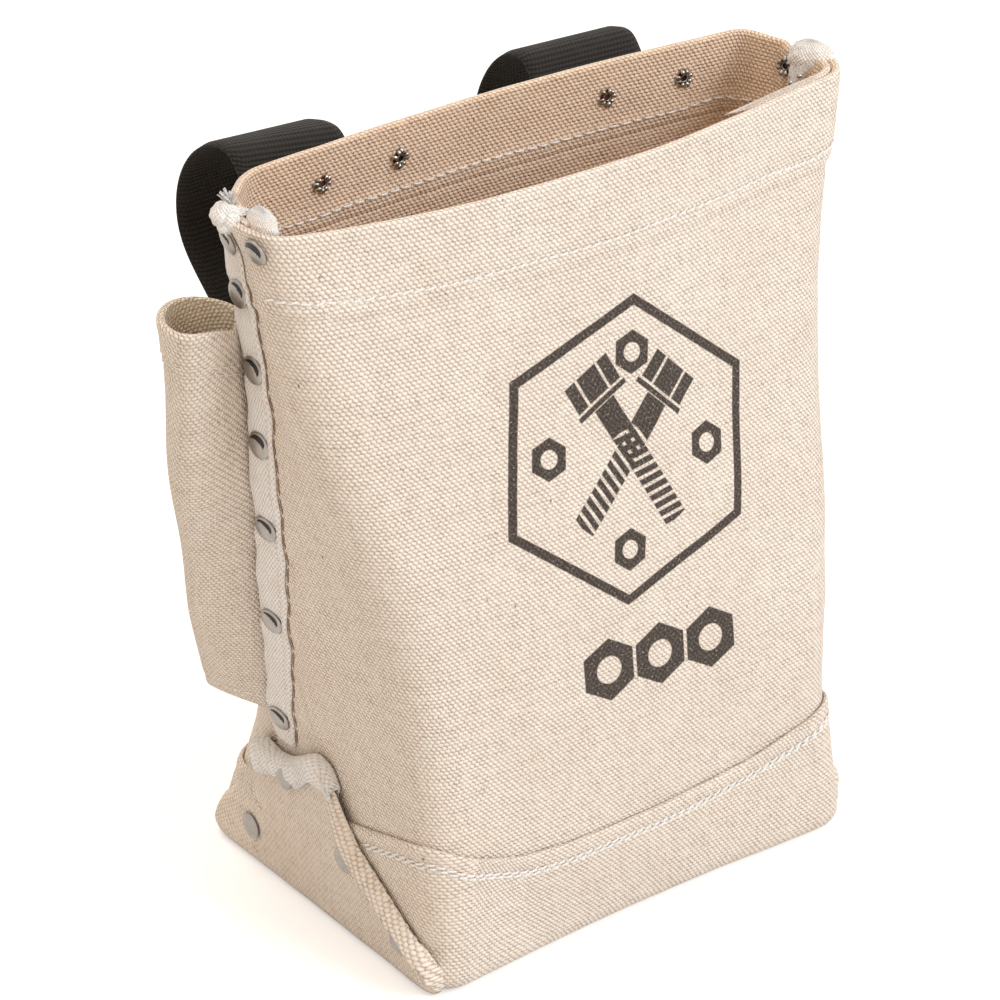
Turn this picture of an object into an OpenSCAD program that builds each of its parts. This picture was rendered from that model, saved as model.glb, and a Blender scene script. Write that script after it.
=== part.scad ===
// Electrician's bull-pin and bolt bag of duck canvas: a boxed bag with a riveted, taped seam down each
// side, a canvas boot round the bottom, bound and riveted corner ears, a pin sleeve at the left seam and
// two webbing belt loops behind it. X runs along the front, Y to the back, Z up, in millimetres.
// The origin is the middle of the bottom, on the surface that the bag stands on.

/* [Bag] */
// Height of the canvas rim
rim_h = 254; // [215:1:300]
// Width of the bottom along the front
base_w = 164; // [140:1:185]
// Depth of the bottom from front to back
base_d = 128; // [110:1:145]
// Distance between the side seams at the rim
mouth_w = 227; // [200:1:250]
// How far the front of the mouth stands ahead of the side seams
mouth_front = 18; // [12:1:30]
// How far the back of the mouth lies behind the side seams
mouth_back = 31; // [24:1:45]
// Radius of the bottom edge all round
edge_r = 5; // [3:0.5:6]

/* [Canvas] */
// Thickness of one ply of duck canvas
canvas_t = 1.3; // [0.8:0.1:1.6]
// Room left between two plies that lie on each other
ply_gap = 0.25; // [0.15:0.05:0.35]
// Depth of the folded hem at the rim
hem_h = 27; // [20:1:35]
// How far the two panels lap past the side seam line
seam_lap = 8; // [7:0.5:10]
// Height of the boot at the middle of the front and back
boot_h = 38; // [30:1:45]
// How much higher the boot stands at its front corners
boot_rise = 15; // [8:1:18]
// How much lower it is at its back corners
boot_back_drop = 5; // [0:1:8]

/* [Corner ears] */
// Height of the blunt tip of a folded-up corner
ear_h = 58; // [52:1:62]
// Thickness of a folded-up corner
ear_t = 3; // [2:0.2:4]
// Half the width of the blunt tip
ear_tip = 23; // [16:1:25]
// How much the tip of an ear leans down to the back
ear_lean = 6; // [0:1:10]

/* [Tape] */
// Width of the white tape along the side seams
tape_w = 12; // [10:0.5:14]
// Thickness of the white tape
tape_t = 0.9; // [0.6:0.1:1.2]
// Length of tape folded over the rim to the inside
tape_turn = 14; // [9:1:20]
// Width of the binding over the tip of an ear, on each face
binding_w = 9; // [7:0.5:10]

/* [Rivets] */
// Diameter of a rivet head
head_d = 9; // [7:0.5:10]
// Height of a rivet head
head_h = 1.6; // [1:0.1:2.2]
// Diameter of a rivet shank
shank_d = 3.4; // [2.4:0.2:4]
// Diameter over the petals of a clinched rivet end
clinch_d = 6.8; // [5.6:0.2:8]

/* [Pin sleeve] */
// Height of the mouth of the sleeve
sleeve_top = 220; // [195:1:228]
// Height of the closed bottom of the sleeve
sleeve_bottom = 68; // [66:1:95]
// Width of the open mouth, out from the side seam
sleeve_w = 25; // [22:1:32]
// Depth of the open mouth, from front to back
sleeve_d = 20; // [14:1:22]

/* [Belt loops] */
// Width of the webbing
web_w = 44; // [36:1:50]
// Thickness of the webbing
web_t = 2.2; // [1.6:0.1:3]
// Distance of each loop's middle from the middle of the back
loop_x = 56; // [48:1:62]
// How far a loop stands out behind the back panel
loop_reach = 59; // [45:1:75]
// Height of the upper loop rivets below the rim
loop_rivet_drop = 12; // [10:0.5:15]
// Height of the lower loop rivets above the bottom
loop_low = 158; // [145:1:170]
// Distance between the two rivets of a pair
loop_pitch = 30; // [22:1:32]

/* [Hidden] */

canvas = [0.91, 0.83, 0.72];
canvas_shade = [0.84, 0.74, 0.62];
white_tape = [0.95, 0.93, 0.92];
webbing = [0.10, 0.10, 0.11];
nickel = [0.72, 0.71, 0.69];

ply = canvas_t + ply_gap;          // step from one ply to the next
arc_z = ply + edge_r;              // height at which the bottom edge turns into the wall
fold_z = rim_h - hem_h;            // lower edge of the hem
ear_in = ply + ply_gap;            // offset of the inner face of an ear, outside the boot
ear_out = ear_in + ear_t;
tape_out = ply_gap + tape_t;

// The wall is lofted through eight upright corner lines. Each starts at a point of the bottom, ends at a
// point of the rim, and sags away from the straight line between them at three inner levels.
LEVELS = [0, 0.24, 0.47, 0.75, 1];
mouth_x = -6.5;                    // the mouth leans to the left of the bottom
seam_y = -13;                      // depth at which the seams reach the rim
half_w = base_w / 2;
half_d = base_d / 2;
left_x = mouth_x - mouth_w / 2;
right_x = mouth_x + mouth_w / 2;
front_y = seam_y - mouth_front;
back_y = seam_y + mouth_back;

function corner_line(foot, rim, sag, cuts) =
  let (off = concat([[0, 0]], sag, [[0, 0]]))
  [for (i = [0:4]) [each foot + (rim - foot) * LEVELS[i] + off[i], cuts[i]]];

// In the order left seam, front left, front middle, front right, right seam, back right, middle, left.
LINES = [
  corner_line([-half_w, 12], [left_x + 0.5, seam_y + 6],
              [[0, 4], [-2, -5], [-2.4, -10.5]], [18, 18, 18, 13, 10]),
  corner_line([-half_w - 1.5, -half_d - 1], [left_x + 1, front_y - 1], [[7, -5], [9, -8], [-1, -5]],
              [10, 14, 16, 16, 12]),
  corner_line([0, -half_d + 4], [mouth_x - 28, front_y - 23], [[0, -7], [0, -6], [0, -3]],
              [40, 50, 60, 70, 80]),
  corner_line([half_w + 1.5, -half_d - 1.5], [right_x - 5.5, front_y + 1],
              [[-9, -5], [-11, -7.5], [-11.5, -6]], [10, 14, 16, 16, 12]),
  corner_line([half_w, 4], [right_x - 1, seam_y - 1], [[4.5, 5], [5, 4.5], [3, 3.5]], [18, 18, 18, 12, 8]),
  corner_line([half_w + 1.5, half_d + 1], [right_x - 6, back_y + 1], [[-5.5, -8], [-6, -11], [-2.5, -6.5]],
              [10, 14, 14, 10, 7]),
  corner_line([0, half_d + 2], [3, back_y + 6.5], [[0, -6], [0, -8.5], [0, -5]], [40, 50, 60, 60, 60]),
  corner_line([-half_w - 1.5, half_d + 1], [left_x + 25, back_y - 2], [[5.5, -9], [5.5, -10], [2, -4.5]],
              [10, 14, 14, 10, 7])
];

function mix(a, b, k) = a + (b - a) * k;
function clamp(v, low, high) = max(low, min(high, v));
function curve(a, b, c, k) = (1 - k) * (1 - k) * a + 2 * k * (1 - k) * b + k * k * c;
function xy(p) = [p.x, p.y];

// A corner line at height z: a smooth curve through its five levels, as [x, y, rounding].
function level_slope(line, i) =
  let (a = max(i - 1, 0), b = min(i + 1, 4)) (line[b] - line[a]) / (LEVELS[b] - LEVELS[a]);
function on_line(line, z) =
  let (h = clamp(z / rim_h, 0, 1),
       i = len([for (k = [1:3]) if (h > LEVELS[k]) k]),
       w = LEVELS[i + 1] - LEVELS[i],
       t = (h - LEVELS[i]) / w)
  (2 * pow(t, 3) - 3 * t * t + 1) * line[i] + (pow(t, 3) - 2 * t * t + t) * w * level_slope(line, i)
  + (3 * t * t - 2 * pow(t, 3)) * line[i + 1] + (pow(t, 3) - t * t) * w * level_slope(line, i + 1);

// A section at height z: its eight corners, and for each side the two points where the roundings end.
function section(z) =
  let (v = [for (line = LINES) on_line(line, z)])
  [[for (p = v) xy(p)],
   [for (i = [0:7])
     let (a = v[i], b = v[(i + 1) % 8], side = xy(b) - xy(a), len = norm(side),
          k = min(1, 0.96 * len / (a[2] + b[2])))
     [xy(a) + side / len * a[2] * k, xy(b) - side / len * b[2] * k]]];

// A point of the section. s counts the corners: 0 is the left seam, 2 the middle of the front, 4 the
// right seam, 6 the middle of the back, and 8 the left seam again.
function wall(sec, s) =
  let (i = (floor(s) + 8) % 8, u = s - floor(s), j = (i + 1) % 8, side = sec[1][i])
  u < 1 / 3 ? curve(sec[1][(i + 7) % 8][1], sec[0][i], side[0], 0.5 + 1.5 * u)
  : u < 2 / 3 ? mix(side[0], side[1], 3 * u - 1)
  : curve(side[1], sec[0][j], sec[1][j][0], 1.5 * u - 1);

// The same point moved d outwards, square to the section.
function skin(sec, s, d) =
  let (t = wall(sec, s + 0.02) - wall(sec, s - 0.02)) wall(sec, s) + [t.y, -t.x] / norm(t) * d;

// The position s that lies a given distance past a seam, measured along the wall.
function past_seam(sec, seam, dist) =
  let (way = sign(dist), a = norm(wall(sec, seam + way / 3) - wall(sec, seam)) * 1.03,
       b = norm(wall(sec, seam + way * 2 / 3) - wall(sec, seam + way / 3)), x = abs(dist))
  seam + way * (x < a ? x / a / 3 : 1 / 3 + (x - a) / b / 3);

// A point of the wall at a height, offset by d, and one on the rounded bottom edge at an angle.
function at(s, z, d) = [each skin(section(z), s, d), z];
function on_edge(sec, s, angle, d) =
  [each skin(sec, s, (edge_r + d) * cos(angle) - edge_r), arc_z - (edge_r + d) * sin(angle)];

// The direction square to the outside of the wall.
function facing(s, z) =
  let (n = cross(at(s + 0.05, z, 0) - at(s - 0.05, z, 0), at(s, z + 2, 0) - at(s, z - 2, 0))) n / norm(n);

// A closed sheet between an outer and an inner grid of points, with rows that run upwards.
module sheet(outer, inner, ring = false) {
  rows = len(outer);
  cols = len(outer[0]);
  last = ring ? cols - 1 : cols - 2;
  function id(face, r, c) = face * rows * cols + r * cols + c % cols;
  quads = [
    for (r = [0:rows - 2], c = [0:last]) each [
      [id(0, r, c), id(0, r + 1, c), id(0, r + 1, c + 1), id(0, r, c + 1)],
      [id(1, r, c), id(1, r, c + 1), id(1, r + 1, c + 1), id(1, r + 1, c)]],
    for (c = [0:last]) each [
      [id(0, 0, c), id(0, 0, c + 1), id(1, 0, c + 1), id(1, 0, c)],
      [id(0, rows - 1, c), id(1, rows - 1, c), id(1, rows - 1, c + 1), id(0, rows - 1, c + 1)]],
    if (!ring) for (r = [0:rows - 2]) each [
      [id(0, r, 0), id(1, r, 0), id(1, r + 1, 0), id(0, r + 1, 0)],
      [id(0, r, cols - 1), id(0, r + 1, cols - 1), id(1, r + 1, cols - 1), id(1, r, cols - 1)]]];
  polyhedron(points = [for (grid = [outer, inner], row = grid) each row],
             faces = [for (q = quads) each [[q[0], q[1], q[2]], [q[0], q[2], q[3]]]]);
}

// ---- panels ----

// Rows of a panel above the bottom edge: [height, trim of the outer face, thickness].
fold_trim = 0.4 * canvas_t;
WALL_Z = [for (i = [0:12]) mix(arc_z, fold_z - 8, i / 12)];
PANEL_ROWS = concat(
  [for (z = WALL_Z) [z, 0, canvas_t]],
  [[fold_z - 2, 0, canvas_t], [fold_z, 0, canvas_t], [fold_z + 0.4, 0, 2 * canvas_t],
   [rim_h - fold_trim, 0, 2 * canvas_t], [rim_h, fold_trim, 2 * (canvas_t - fold_trim)]]);
TURN = [75, 35];                   // angles of the rows on the bottom edge

// One side of a panel: face 0 is outside and 1 inside. columns(sec) gives [s, share of the tuck].
function front_columns(sec) = concat(
  [past_seam(sec, 0, -seam_lap), past_seam(sec, 0, -seam_lap / 2)],
  [for (i = [0:24]) i / 6],
  [past_seam(sec, 4, seam_lap / 2), past_seam(sec, 4, seam_lap)]);
function front_grid(face) = concat(
  let (sec = section(arc_z))
  [for (a = TURN) [for (s = front_columns(sec)) on_edge(sec, s, a, -face * canvas_t)]],
  [for (row = PANEL_ROWS) let (sec = section(row[0]))
    [for (s = front_columns(sec)) [each skin(sec, s, -row[1] - face * row[2]), row[0]]]]);

// The back panel goes under the front panel at both seams, and deeper where both are hemmed.
function back_columns(sec) = concat(
  [for (i = [-2:2]) [past_seam(sec, 4, i / 2 * (seam_lap + 1) + 0.5), 1]],
  [[past_seam(sec, 4, seam_lap + 7), 0]],
  [for (i = [0:18]) [4.5 + i / 6, 0]],
  [[past_seam(sec, 8, -seam_lap - 7), 0]],
  [for (i = [-2:2]) [past_seam(sec, 8, i / 2 * (seam_lap + 1) - 0.5), 1]]);
function tuck(z) = z > fold_z - 4 ? 2 * ply : ply;
function back_grid(face) = concat(
  let (sec = section(arc_z))
  [for (a = TURN) [for (c = back_columns(sec)) on_edge(sec, c[0], a, -c[1] * ply - face * canvas_t)]],
  [for (row = PANEL_ROWS) let (sec = section(row[0]))
    [for (c = back_columns(sec))
      [each skin(sec, c[0], -row[1] - c[1] * tuck(row[0]) - face * row[2]), row[0]]]]);

module front_panel() color(canvas) sheet(front_grid(0), front_grid(1));
module back_panel() color(canvas_shade) sheet(back_grid(0), back_grid(1));

// ---- bottom ----

// The flat part of the bottom, inside the rounded edge, drawn in towards the middle by a distance.
module floor_plate(inset) {
  sec = section(arc_z);
  linear_extrude(canvas_t) polygon([for (i = [0:47]) skin(sec, i / 6, -edge_r) * (1 - inset / half_d)]);
}

module inner_bottom() color(canvas_shade) translate([0, 0, ply]) floor_plate(2 * ply);

// The boot's upper edge dips at the middle of the front, rises to the front corners, and drops again at
// the sides, where the ears cover it, and towards the back corners.
function behind(s) = (s + 8) % 8 > 4;
function boot_top(s) =
  let (u = abs((s + 8) % 4 - 2))
  u < 1.15 ? boot_h + (behind(s) ? -boot_back_drop : boot_rise) * pow(sin(u / 1.15 * 90), 2)
  : lookup(wall(section(arc_z), s).y,
      [[4 - half_d, boot_h + boot_rise], [ear_mid - ear_tip - 6, boot_h + 7],
       [ear_mid - ear_tip + 2, boot_h - 3], [half_d - 4, boot_h - boot_back_drop]]);
BOOT_ROWS = 6;
function boot_grid(face) =
  let (sec = section(arc_z), d = ply - face * canvas_t, s_list = [for (i = [0:47]) i / 6])
  concat([for (a = [90, 60, 30]) [for (s = s_list) on_edge(sec, s, a, d)]],
         [for (r = [0:BOOT_ROWS]) [for (s = s_list) at(s, mix(arc_z, boot_top(s), r / BOOT_ROWS), d)]]);

module bottom_boot() color(canvas) union() {
  sheet(boot_grid(0), boot_grid(1), ring = true);
  floor_plate(0);
}

// ---- corner ears ----

// An ear covers the side between the two bottom corners. seam is 0 on the left and 4 on the right.
// Its lower edge rolls in with the bottom edge, and its top slopes from the tip to the corners.
EAR_ROLL = [38, 15];               // angles of its lowest rows on the bottom edge
EAR_END = 12;                      // height of an ear at its front end
ear_mid = 7;                       // depth of the middle of the tip
function ear_top(seam, s) =
  lookup(wall(section(arc_z), seam + s).y,
    [[-half_d, EAR_END], [4 - half_d, EAR_END + 4], [17 - half_d, ear_h * 0.45], [34 - half_d, ear_h * 0.69],
     [ear_mid - ear_tip, ear_h - 2], [ear_mid - ear_tip + 8, ear_h], [ear_mid + ear_tip, ear_h - ear_lean],
     [half_d - 16, ear_h * 0.65], [half_d - 8, ear_h * 0.35], [half_d, EAR_END - 4]]);
EAR_ROWS = 5;
EAR_STEP = 0.085;                  // step of s from one column of an ear to the next
function ear_grid(seam, d) =
  let (sec = section(arc_z), cols = [for (i = [-10:10]) seam + i * EAR_STEP])
  concat([for (a = EAR_ROLL) [for (s = cols) on_edge(sec, s, a, d)]],
         [for (r = [0:EAR_ROWS])
           [for (s = cols) at(s, mix(arc_z, ear_top(seam, s - seam), r / EAR_ROWS), d)]]);
module ear(seam) color(canvas) sheet(ear_grid(seam, ear_out), ear_grid(seam, ear_in));

// Tape folded over the blunt tip, wavy along its lower edge.
function tip_path(top, face) =
  let (low = top - binding_w, off = tape_t * (1 - face) + ply_gap, mid = (ear_in + ear_out) / 2)
  [[low, ear_out + off], [top, ear_out + off], [top + off, mid + (ear_t / 2 + off) * 0.6],
   [top + off, mid - (ear_t / 2 + off) * 0.6], [top, ear_in - off], [low + 5, ear_in - off]];
function binding_grid(seam, face) =
  let (first = seam == 0 ? -3 : -4, cols = [for (i = [first:first + 8]) i * EAR_STEP])
  [for (r = [0:5])
    [for (s = cols) let (q = tip_path(ear_top(seam, s), face)[r]) at(seam + s, q[0], q[1])]];
module ear_binding(seam) color(white_tape) sheet(binding_grid(seam, 0), binding_grid(seam, 1));

// ---- seam tape ----

// Tape up the outside of a seam, over the rim and down inside.
tape_foot = ear_h + ply_gap + tape_t + 1;
rim_in = -2 * ply - 2 * canvas_t;  // inner face of the two hems that lap at a seam
function tape_path(face) =
  let (off = tape_t * (1 - face) + ply_gap)
  concat([[tape_foot, off]], [for (z = WALL_Z) if (z > tape_foot + 3) [z, off]],
         [[fold_z, off], [rim_h - fold_trim, off], [rim_h + off, off - fold_trim],
          [rim_h + off, rim_in + fold_trim - off], [rim_h - fold_trim, rim_in - off],
          [rim_h - tape_turn, rim_in - off]]);
function tape_grid(seam, face) =
  [for (q = tape_path(face)) let (sec = section(q[0]))
    [for (x = [-1:0.5:1]) [each skin(sec, past_seam(sec, seam, x * tape_w / 2 + 0.01), q[1]), q[0]]]];
module seam_tape(seam) color(white_tape) sheet(tape_grid(seam, 0), tape_grid(seam, 1));

// ---- rivets ----

// A split rivet: a domed head outside, a shank through the plies, and petals clinched inside.
PETALS = 6;
CLINCH_T = 0.7;
module rivet(grip) {
  dome_r = (head_d * head_d / 4 + head_h * head_h) / (2 * head_h);
  color(nickel) {
    rotate_extrude($fn = 48)
      polygon(concat([[0, 0], [head_d / 2, 0]],
        [for (i = [1:5]) let (x = head_d / 2 * (1 - i / 5))
          [x, head_h - dome_r + sqrt(dome_r * dome_r - x * x)]]));
    translate([0, 0, -grip - CLINCH_T]) cylinder(d = shank_d, h = grip + CLINCH_T + 0.1, $fn = 32);
    translate([0, 0, -grip - CLINCH_T]) for (i = [0:PETALS - 1])
      rotate([0, 0, i * 360 / PETALS]) translate([clinch_d / 2 - 1.1, 0, 0])
        cylinder(d = 2.2, h = CLINCH_T, $fn = 24);
  }
}

// A rivet through the wall at (s, z), from the face at offset outside to the face at offset inside.
module wall_rivet(s, z, outside, inside) {
  n = facing(s, z);
  translate(at(s, z, 0) + n * (outside + 0.05)) rotate([0, acos(n.z), atan2(n.y, n.x)])
    rivet(outside - inside + 0.1);
}

// Heights of the rivets down a seam. The last two are in the hem, one through both ends of the tape and
// one beside it.
SEAM_RIVETS = [for (k = [0.05, 0.27, 0.46, 0.62, 0.75, 0.875]) mix(tape_foot, rim_h, k)];
module seam_rivets(seam, beside) {
  for (z = SEAM_RIVETS) wall_rivet(seam, z, tape_out, -2 * ply + ply_gap);
  wall_rivet(seam, rim_h - 8, tape_out, rim_in - tape_out);
  wall_rivet(seam + beside, rim_h - head_d / 2 - 1.5, 0, rim_in);
}

module ear_rivets(seam, way) {
  wall_rivet(seam + way * 0.1, ear_h - 8, ear_out + tape_out, -2 * ply);
  for (q = [[-0.4, 0.28], [0.45, 0.56], [0.63, 0.26]])
    wall_rivet(seam + way * q[0], ear_h * q[1], ear_out, -2 * ply);
}

// ---- pin sleeve ----

// Rings of a flattened tube whose edge stays behind the left seam tape. It opens out to the left at the
// top and lies back along the side at the bottom, where its plies are stitched together.
function sleeve_ring(k, inset) =
  let (z = mix(sleeve_bottom, sleeve_top, k), sec = section(z),
       root = skin(sec, past_seam(sec, 8, -tape_w / 2 - mix(3, 6.2, k)), ply_gap),
       way = mix(105, 176, k), reach = mix(13.5, sleeve_w / 2, k),
       half = mix(canvas_t + 0.05, sleeve_d / 2, sqrt(k)),
       out = [cos(way), sin(way)], side = [-out.y, out.x])
  [for (i = [0:23]) let (a = i * 15, over = reach - (reach - inset) * cos(a),
                         across = (half - inset) * sin(a) * (1 - 0.4 * cos(a)))
    [each root + out * over - side * across, z]];
function sleeve_grid(inset) = [for (r = [0:8]) sleeve_ring(r / 8, inset)];
module bull_pin_sleeve() color(canvas) sheet(sleeve_grid(0), sleeve_grid(canvas_t), ring = true);

// ---- belt loops ----

// The position s of the back panel at a given x.
function back_at(sec, x, low = 5, high = 7, steps = 14) =
  let (m = (low + high) / 2)
  steps == 0 ? m : wall(sec, m).x > x ? back_at(sec, x, m, high, steps - 1)
  : back_at(sec, x, low, m, steps - 1);
function on_back(x, z) = let (sec = section(z)) [each wall(sec, back_at(sec, x)), z];

function bezier(a, b, c, d, n) =
  [for (i = [1:n]) let (k = i / n, m = 1 - k)
    m * m * m * a + 3 * m * m * k * b + 3 * m * k * k * c + k * k * k * d];

// The middle line of one edge of the webbing, in a plane square to the back: up the panel past the upper
// rivets, out over a crest, round behind and in again, ending below the lower rivets. [out, up].
loop_shift = 5.5;                  // the pair of loops sits to the right of the middle
TAB = 10;                          // webbing past each pair of rivets
function loop_path(seat, drop, crest) =
  let (r = loop_reach, bottom = -drop,
       a = [seat, 4], dip = [r * 0.38, crest - 8], top = [r * 0.62, crest], back = [r, -0.36 * drop],
       heel = [r * 0.72, -0.67 * drop], e = [seat, bottom + 14])
  concat([[seat, -TAB], a],
         bezier(a, a + [0, 5], dip - [r * 0.15, 0], dip, 6),
         bezier(dip, dip + [r * 0.11, 0], top - [r * 0.1, 0], top, 7),
         bezier(top, top + [r * 0.2, 0], back + [0, drop * 0.16], back, 8),
         bezier(back, back - [0, drop * 0.15], heel + [9, 8], heel, 5),
         bezier(heel, heel - [15, 13], e + [0, 11], e, 7),
         [[seat, bottom - TAB]]);
function path_side(path, i) =
  let (v = path[min(i + 1, len(path) - 1)] - path[max(i - 1, 0)]) [v.y, -v.x] / norm(v);

// Axes of a loop: across the webbing, out from the back, and up the panel between its rivets.
function loop_axes(x) =
  let (high = on_back(x, rim_h - loop_rivet_drop), low = on_back(x, loop_low),
       up = (high - low) / norm(high - low),
       along = on_back(x + web_w / 2, high.z) - on_back(x - web_w / 2, high.z),
       flat = along - up * (along * up), across = flat / norm(flat))
  [high, across, cross(up, across), up, norm(high - low)];

// How far the panel bulges out behind the webbing's two flat ends.
function loop_seat(x, axes) =
  max([for (z = [rim_h - loop_rivet_drop, loop_low], dz = [-TAB, 0, 5], dx = [-0.5:0.25:0.5])
    (on_back(x + dx * web_w, z + dz) - axes[0]) * axes[2]]) + ply_gap;

// One face of the webbing. The crest is tilt lower at the right edge than at the left.
function loop_grid(x, crest, tilt, off) =
  let (axes = loop_axes(x), seat = loop_seat(x, axes) + web_t / 2,
       paths = [for (k = [-0.5:0.25:0.5]) loop_path(seat, axes[4], crest + k * tilt)])
  [for (i = [0:len(paths[0]) - 1])
    [for (c = [0:4]) let (p = paths[c][i] + path_side(paths[c], i) * off)
      axes[0] + axes[2] * p[0] + axes[3] * p[1] - axes[1] * (c / 4 - 0.5) * web_w]];
module belt_loop(x, crest, tilt) color(webbing)
  sheet(loop_grid(x, crest, tilt, web_t / 2), loop_grid(x, crest, tilt, -web_t / 2));

module loop_rivets(x, z, inside) {
  axes = loop_axes(x);
  outside = loop_seat(x, axes) + web_t;
  for (side = [-0.5, 0.5]) {
    p = on_back(x + side * loop_pitch, z);
    bulge = (p - axes[0]) * axes[2];
    translate(p + axes[2] * (outside - bulge + 0.05))
      rotate([0, acos(axes[2].z), atan2(axes[2].y, axes[2].x)]) rivet(outside - bulge + inside + 0.15);
  }
}

front_panel();
back_panel();
inner_bottom();
bottom_boot();
ear(0);  // left_ear
ear(4);  // right_ear
ear_binding(0);  // left_ear_binding
ear_binding(4);  // right_ear_binding
seam_tape(0);  // left_seam_tape
seam_tape(4);  // right_seam_tape
bull_pin_sleeve();
seam_rivets(0, 0.78);  // left_seam_rivets
seam_rivets(4, 0.35);  // right_seam_rivets
ear_rivets(0, 1);  // left_ear_rivets
ear_rivets(4, -1);  // right_ear_rivets
belt_loop(-loop_x + loop_shift, -5, 4);  // left_belt_loop
belt_loop(loop_x + loop_shift, 0, 0);  // right_belt_loop
loop_rivets(-loop_x + loop_shift, rim_h - loop_rivet_drop, 2 * canvas_t);  // left_loop_upper_rivets
loop_rivets(-loop_x + loop_shift, loop_low, canvas_t);  // left_loop_lower_rivets
loop_rivets(loop_x + loop_shift, rim_h - loop_rivet_drop, 2 * canvas_t);  // right_loop_upper_rivets
loop_rivets(loop_x + loop_shift, loop_low, canvas_t);  // right_loop_lower_rivets
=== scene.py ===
"""Looks of a duck canvas bolt bag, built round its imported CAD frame. Lengths are in millimetres."""
import math

import bpy
import numpy as np
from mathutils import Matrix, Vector


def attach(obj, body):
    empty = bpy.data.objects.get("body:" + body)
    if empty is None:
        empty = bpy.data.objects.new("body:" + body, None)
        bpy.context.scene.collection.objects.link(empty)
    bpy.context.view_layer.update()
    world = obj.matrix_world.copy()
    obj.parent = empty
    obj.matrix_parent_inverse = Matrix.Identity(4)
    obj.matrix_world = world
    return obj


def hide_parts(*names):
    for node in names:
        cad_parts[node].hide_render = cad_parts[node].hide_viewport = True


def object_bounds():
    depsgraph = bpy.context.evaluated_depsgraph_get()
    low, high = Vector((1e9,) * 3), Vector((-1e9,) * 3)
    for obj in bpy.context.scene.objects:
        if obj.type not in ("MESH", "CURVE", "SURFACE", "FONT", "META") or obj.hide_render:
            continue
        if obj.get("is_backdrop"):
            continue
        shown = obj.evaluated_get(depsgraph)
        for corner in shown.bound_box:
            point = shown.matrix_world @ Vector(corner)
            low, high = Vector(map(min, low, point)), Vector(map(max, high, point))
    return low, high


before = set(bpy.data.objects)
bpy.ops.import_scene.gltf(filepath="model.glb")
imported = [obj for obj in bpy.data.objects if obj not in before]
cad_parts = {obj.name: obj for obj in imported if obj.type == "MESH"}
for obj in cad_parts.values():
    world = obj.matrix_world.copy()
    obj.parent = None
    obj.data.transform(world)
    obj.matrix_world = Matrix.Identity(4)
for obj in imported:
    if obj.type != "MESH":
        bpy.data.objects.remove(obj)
cad_low, cad_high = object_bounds()
MM = 0.001
rng = np.random.default_rng(11)

# ---- sizes of the bag, as in its CAD source ----
RIM_H, BASE_W, BASE_D = 254.0, 164.0, 128.0
MOUTH_W, MOUTH_FRONT, MOUTH_BACK = 227.0, 18.0, 31.0
EDGE_R, PLY_T, PLY_GAP = 5.0, 1.3, 0.25
HEM_H, SEAM_LAP = 27.0, 8.0
BOOT_H, BOOT_RISE, BOOT_BACK_DROP = 38.0, 15.0, 5.0
EAR_H, EAR_T, EAR_TIP, EAR_LEAN, EAR_MID, EAR_END = 58.0, 3.0, 23.0, 6.0, 7.0, 12.0
TAPE_W, TAPE_T, TAPE_TURN, BINDING_W = 12.0, 0.9, 14.0, 9.0
HEAD_D, HEAD_H, CLINCH_D = 9.0, 1.6, 6.8
SLEEVE_TOP, SLEEVE_BOTTOM, SLEEVE_W, SLEEVE_D = 220.0, 68.0, 25.0, 20.0
WEB_W, WEB_T, LOOP_X, LOOP_REACH = 44.0, 2.2, 56.0, 59.0
LOOP_DROP, LOOP_LOW, LOOP_PITCH, LOOP_SHIFT, TAB = 12.0, 158.0, 30.0, 5.5, 10.0
MOUTH_X, SEAM_Y = -6.5, -13.0

PLY = PLY_T + PLY_GAP
ARC_Z = PLY + EDGE_R                        # where the upright wall meets the rounded bottom edge
FOLD_Z = RIM_H - HEM_H
EAR_IN = PLY + PLY_GAP
EAR_OUT = EAR_IN + EAR_T
TAPE_OUT = PLY_GAP + TAPE_T
RIM_IN = -2 * PLY - 2 * PLY_T
TAPE_FOOT = EAR_H + PLY_GAP + TAPE_T + 1
half_w, half_d = BASE_W / 2, BASE_D / 2
left_x, right_x = MOUTH_X - MOUTH_W / 2, MOUTH_X + MOUTH_W / 2
front_y, back_y = SEAM_Y - MOUTH_FRONT, SEAM_Y + MOUTH_BACK

# ---- details that only the looks have ----
HEM_ROW = 4.5                               # the hem's stitches lie this far over its fold
BOOT_ROWS_DOWN = (5.8, 7.0)                 # the boot's two rows of stitches, under its edge
SLEEVE_ROWS_DOWN = (11.0, 13.6)             # the sleeve's two rows, under its mouth
SEAM_SWELL, SEAM_SINK = 2.9, 3.2            # behind each seam, and higher up ahead of it
EAR_ROLL, EAR_ROLL_W = 3.4, 4.4             # the rolled edge of an ear
EAR_REACH = {0: 1.0, 4: 0.84}               # how far each ear runs towards the corners of the bag
INNER_UV = 0.6                              # the weave moves on by this much from face to face
SEAMS = ((0, 1, "left"), (4, -1, "right"))  # place along the wall, way to the front, side


# ---- small maths ----
def floats(*values):
    return np.broadcast_arrays(*(np.asarray(value, float) for value in values))


def mix(a, b, k):
    return a + (b - a) * k


def smooth(low, high, x):
    k = np.clip((np.asarray(x, float) - low) / (high - low), 0, 1)
    return k * k * (3 - 2 * k)


def bump(x, middle, width):
    return np.exp(-(((np.asarray(x, float) - middle) / width) ** 2))


def length(vectors, keep=False):
    return np.linalg.norm(vectors, axis=-1, keepdims=keep)


def unit(vectors):
    return vectors / length(vectors, True)


def pair(u, v):
    return np.stack(np.broadcast_arrays(u, v), -1)


def rows_of(*parts):
    return np.concatenate([np.atleast_1d(np.asarray(part, float)) for part in parts])


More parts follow.
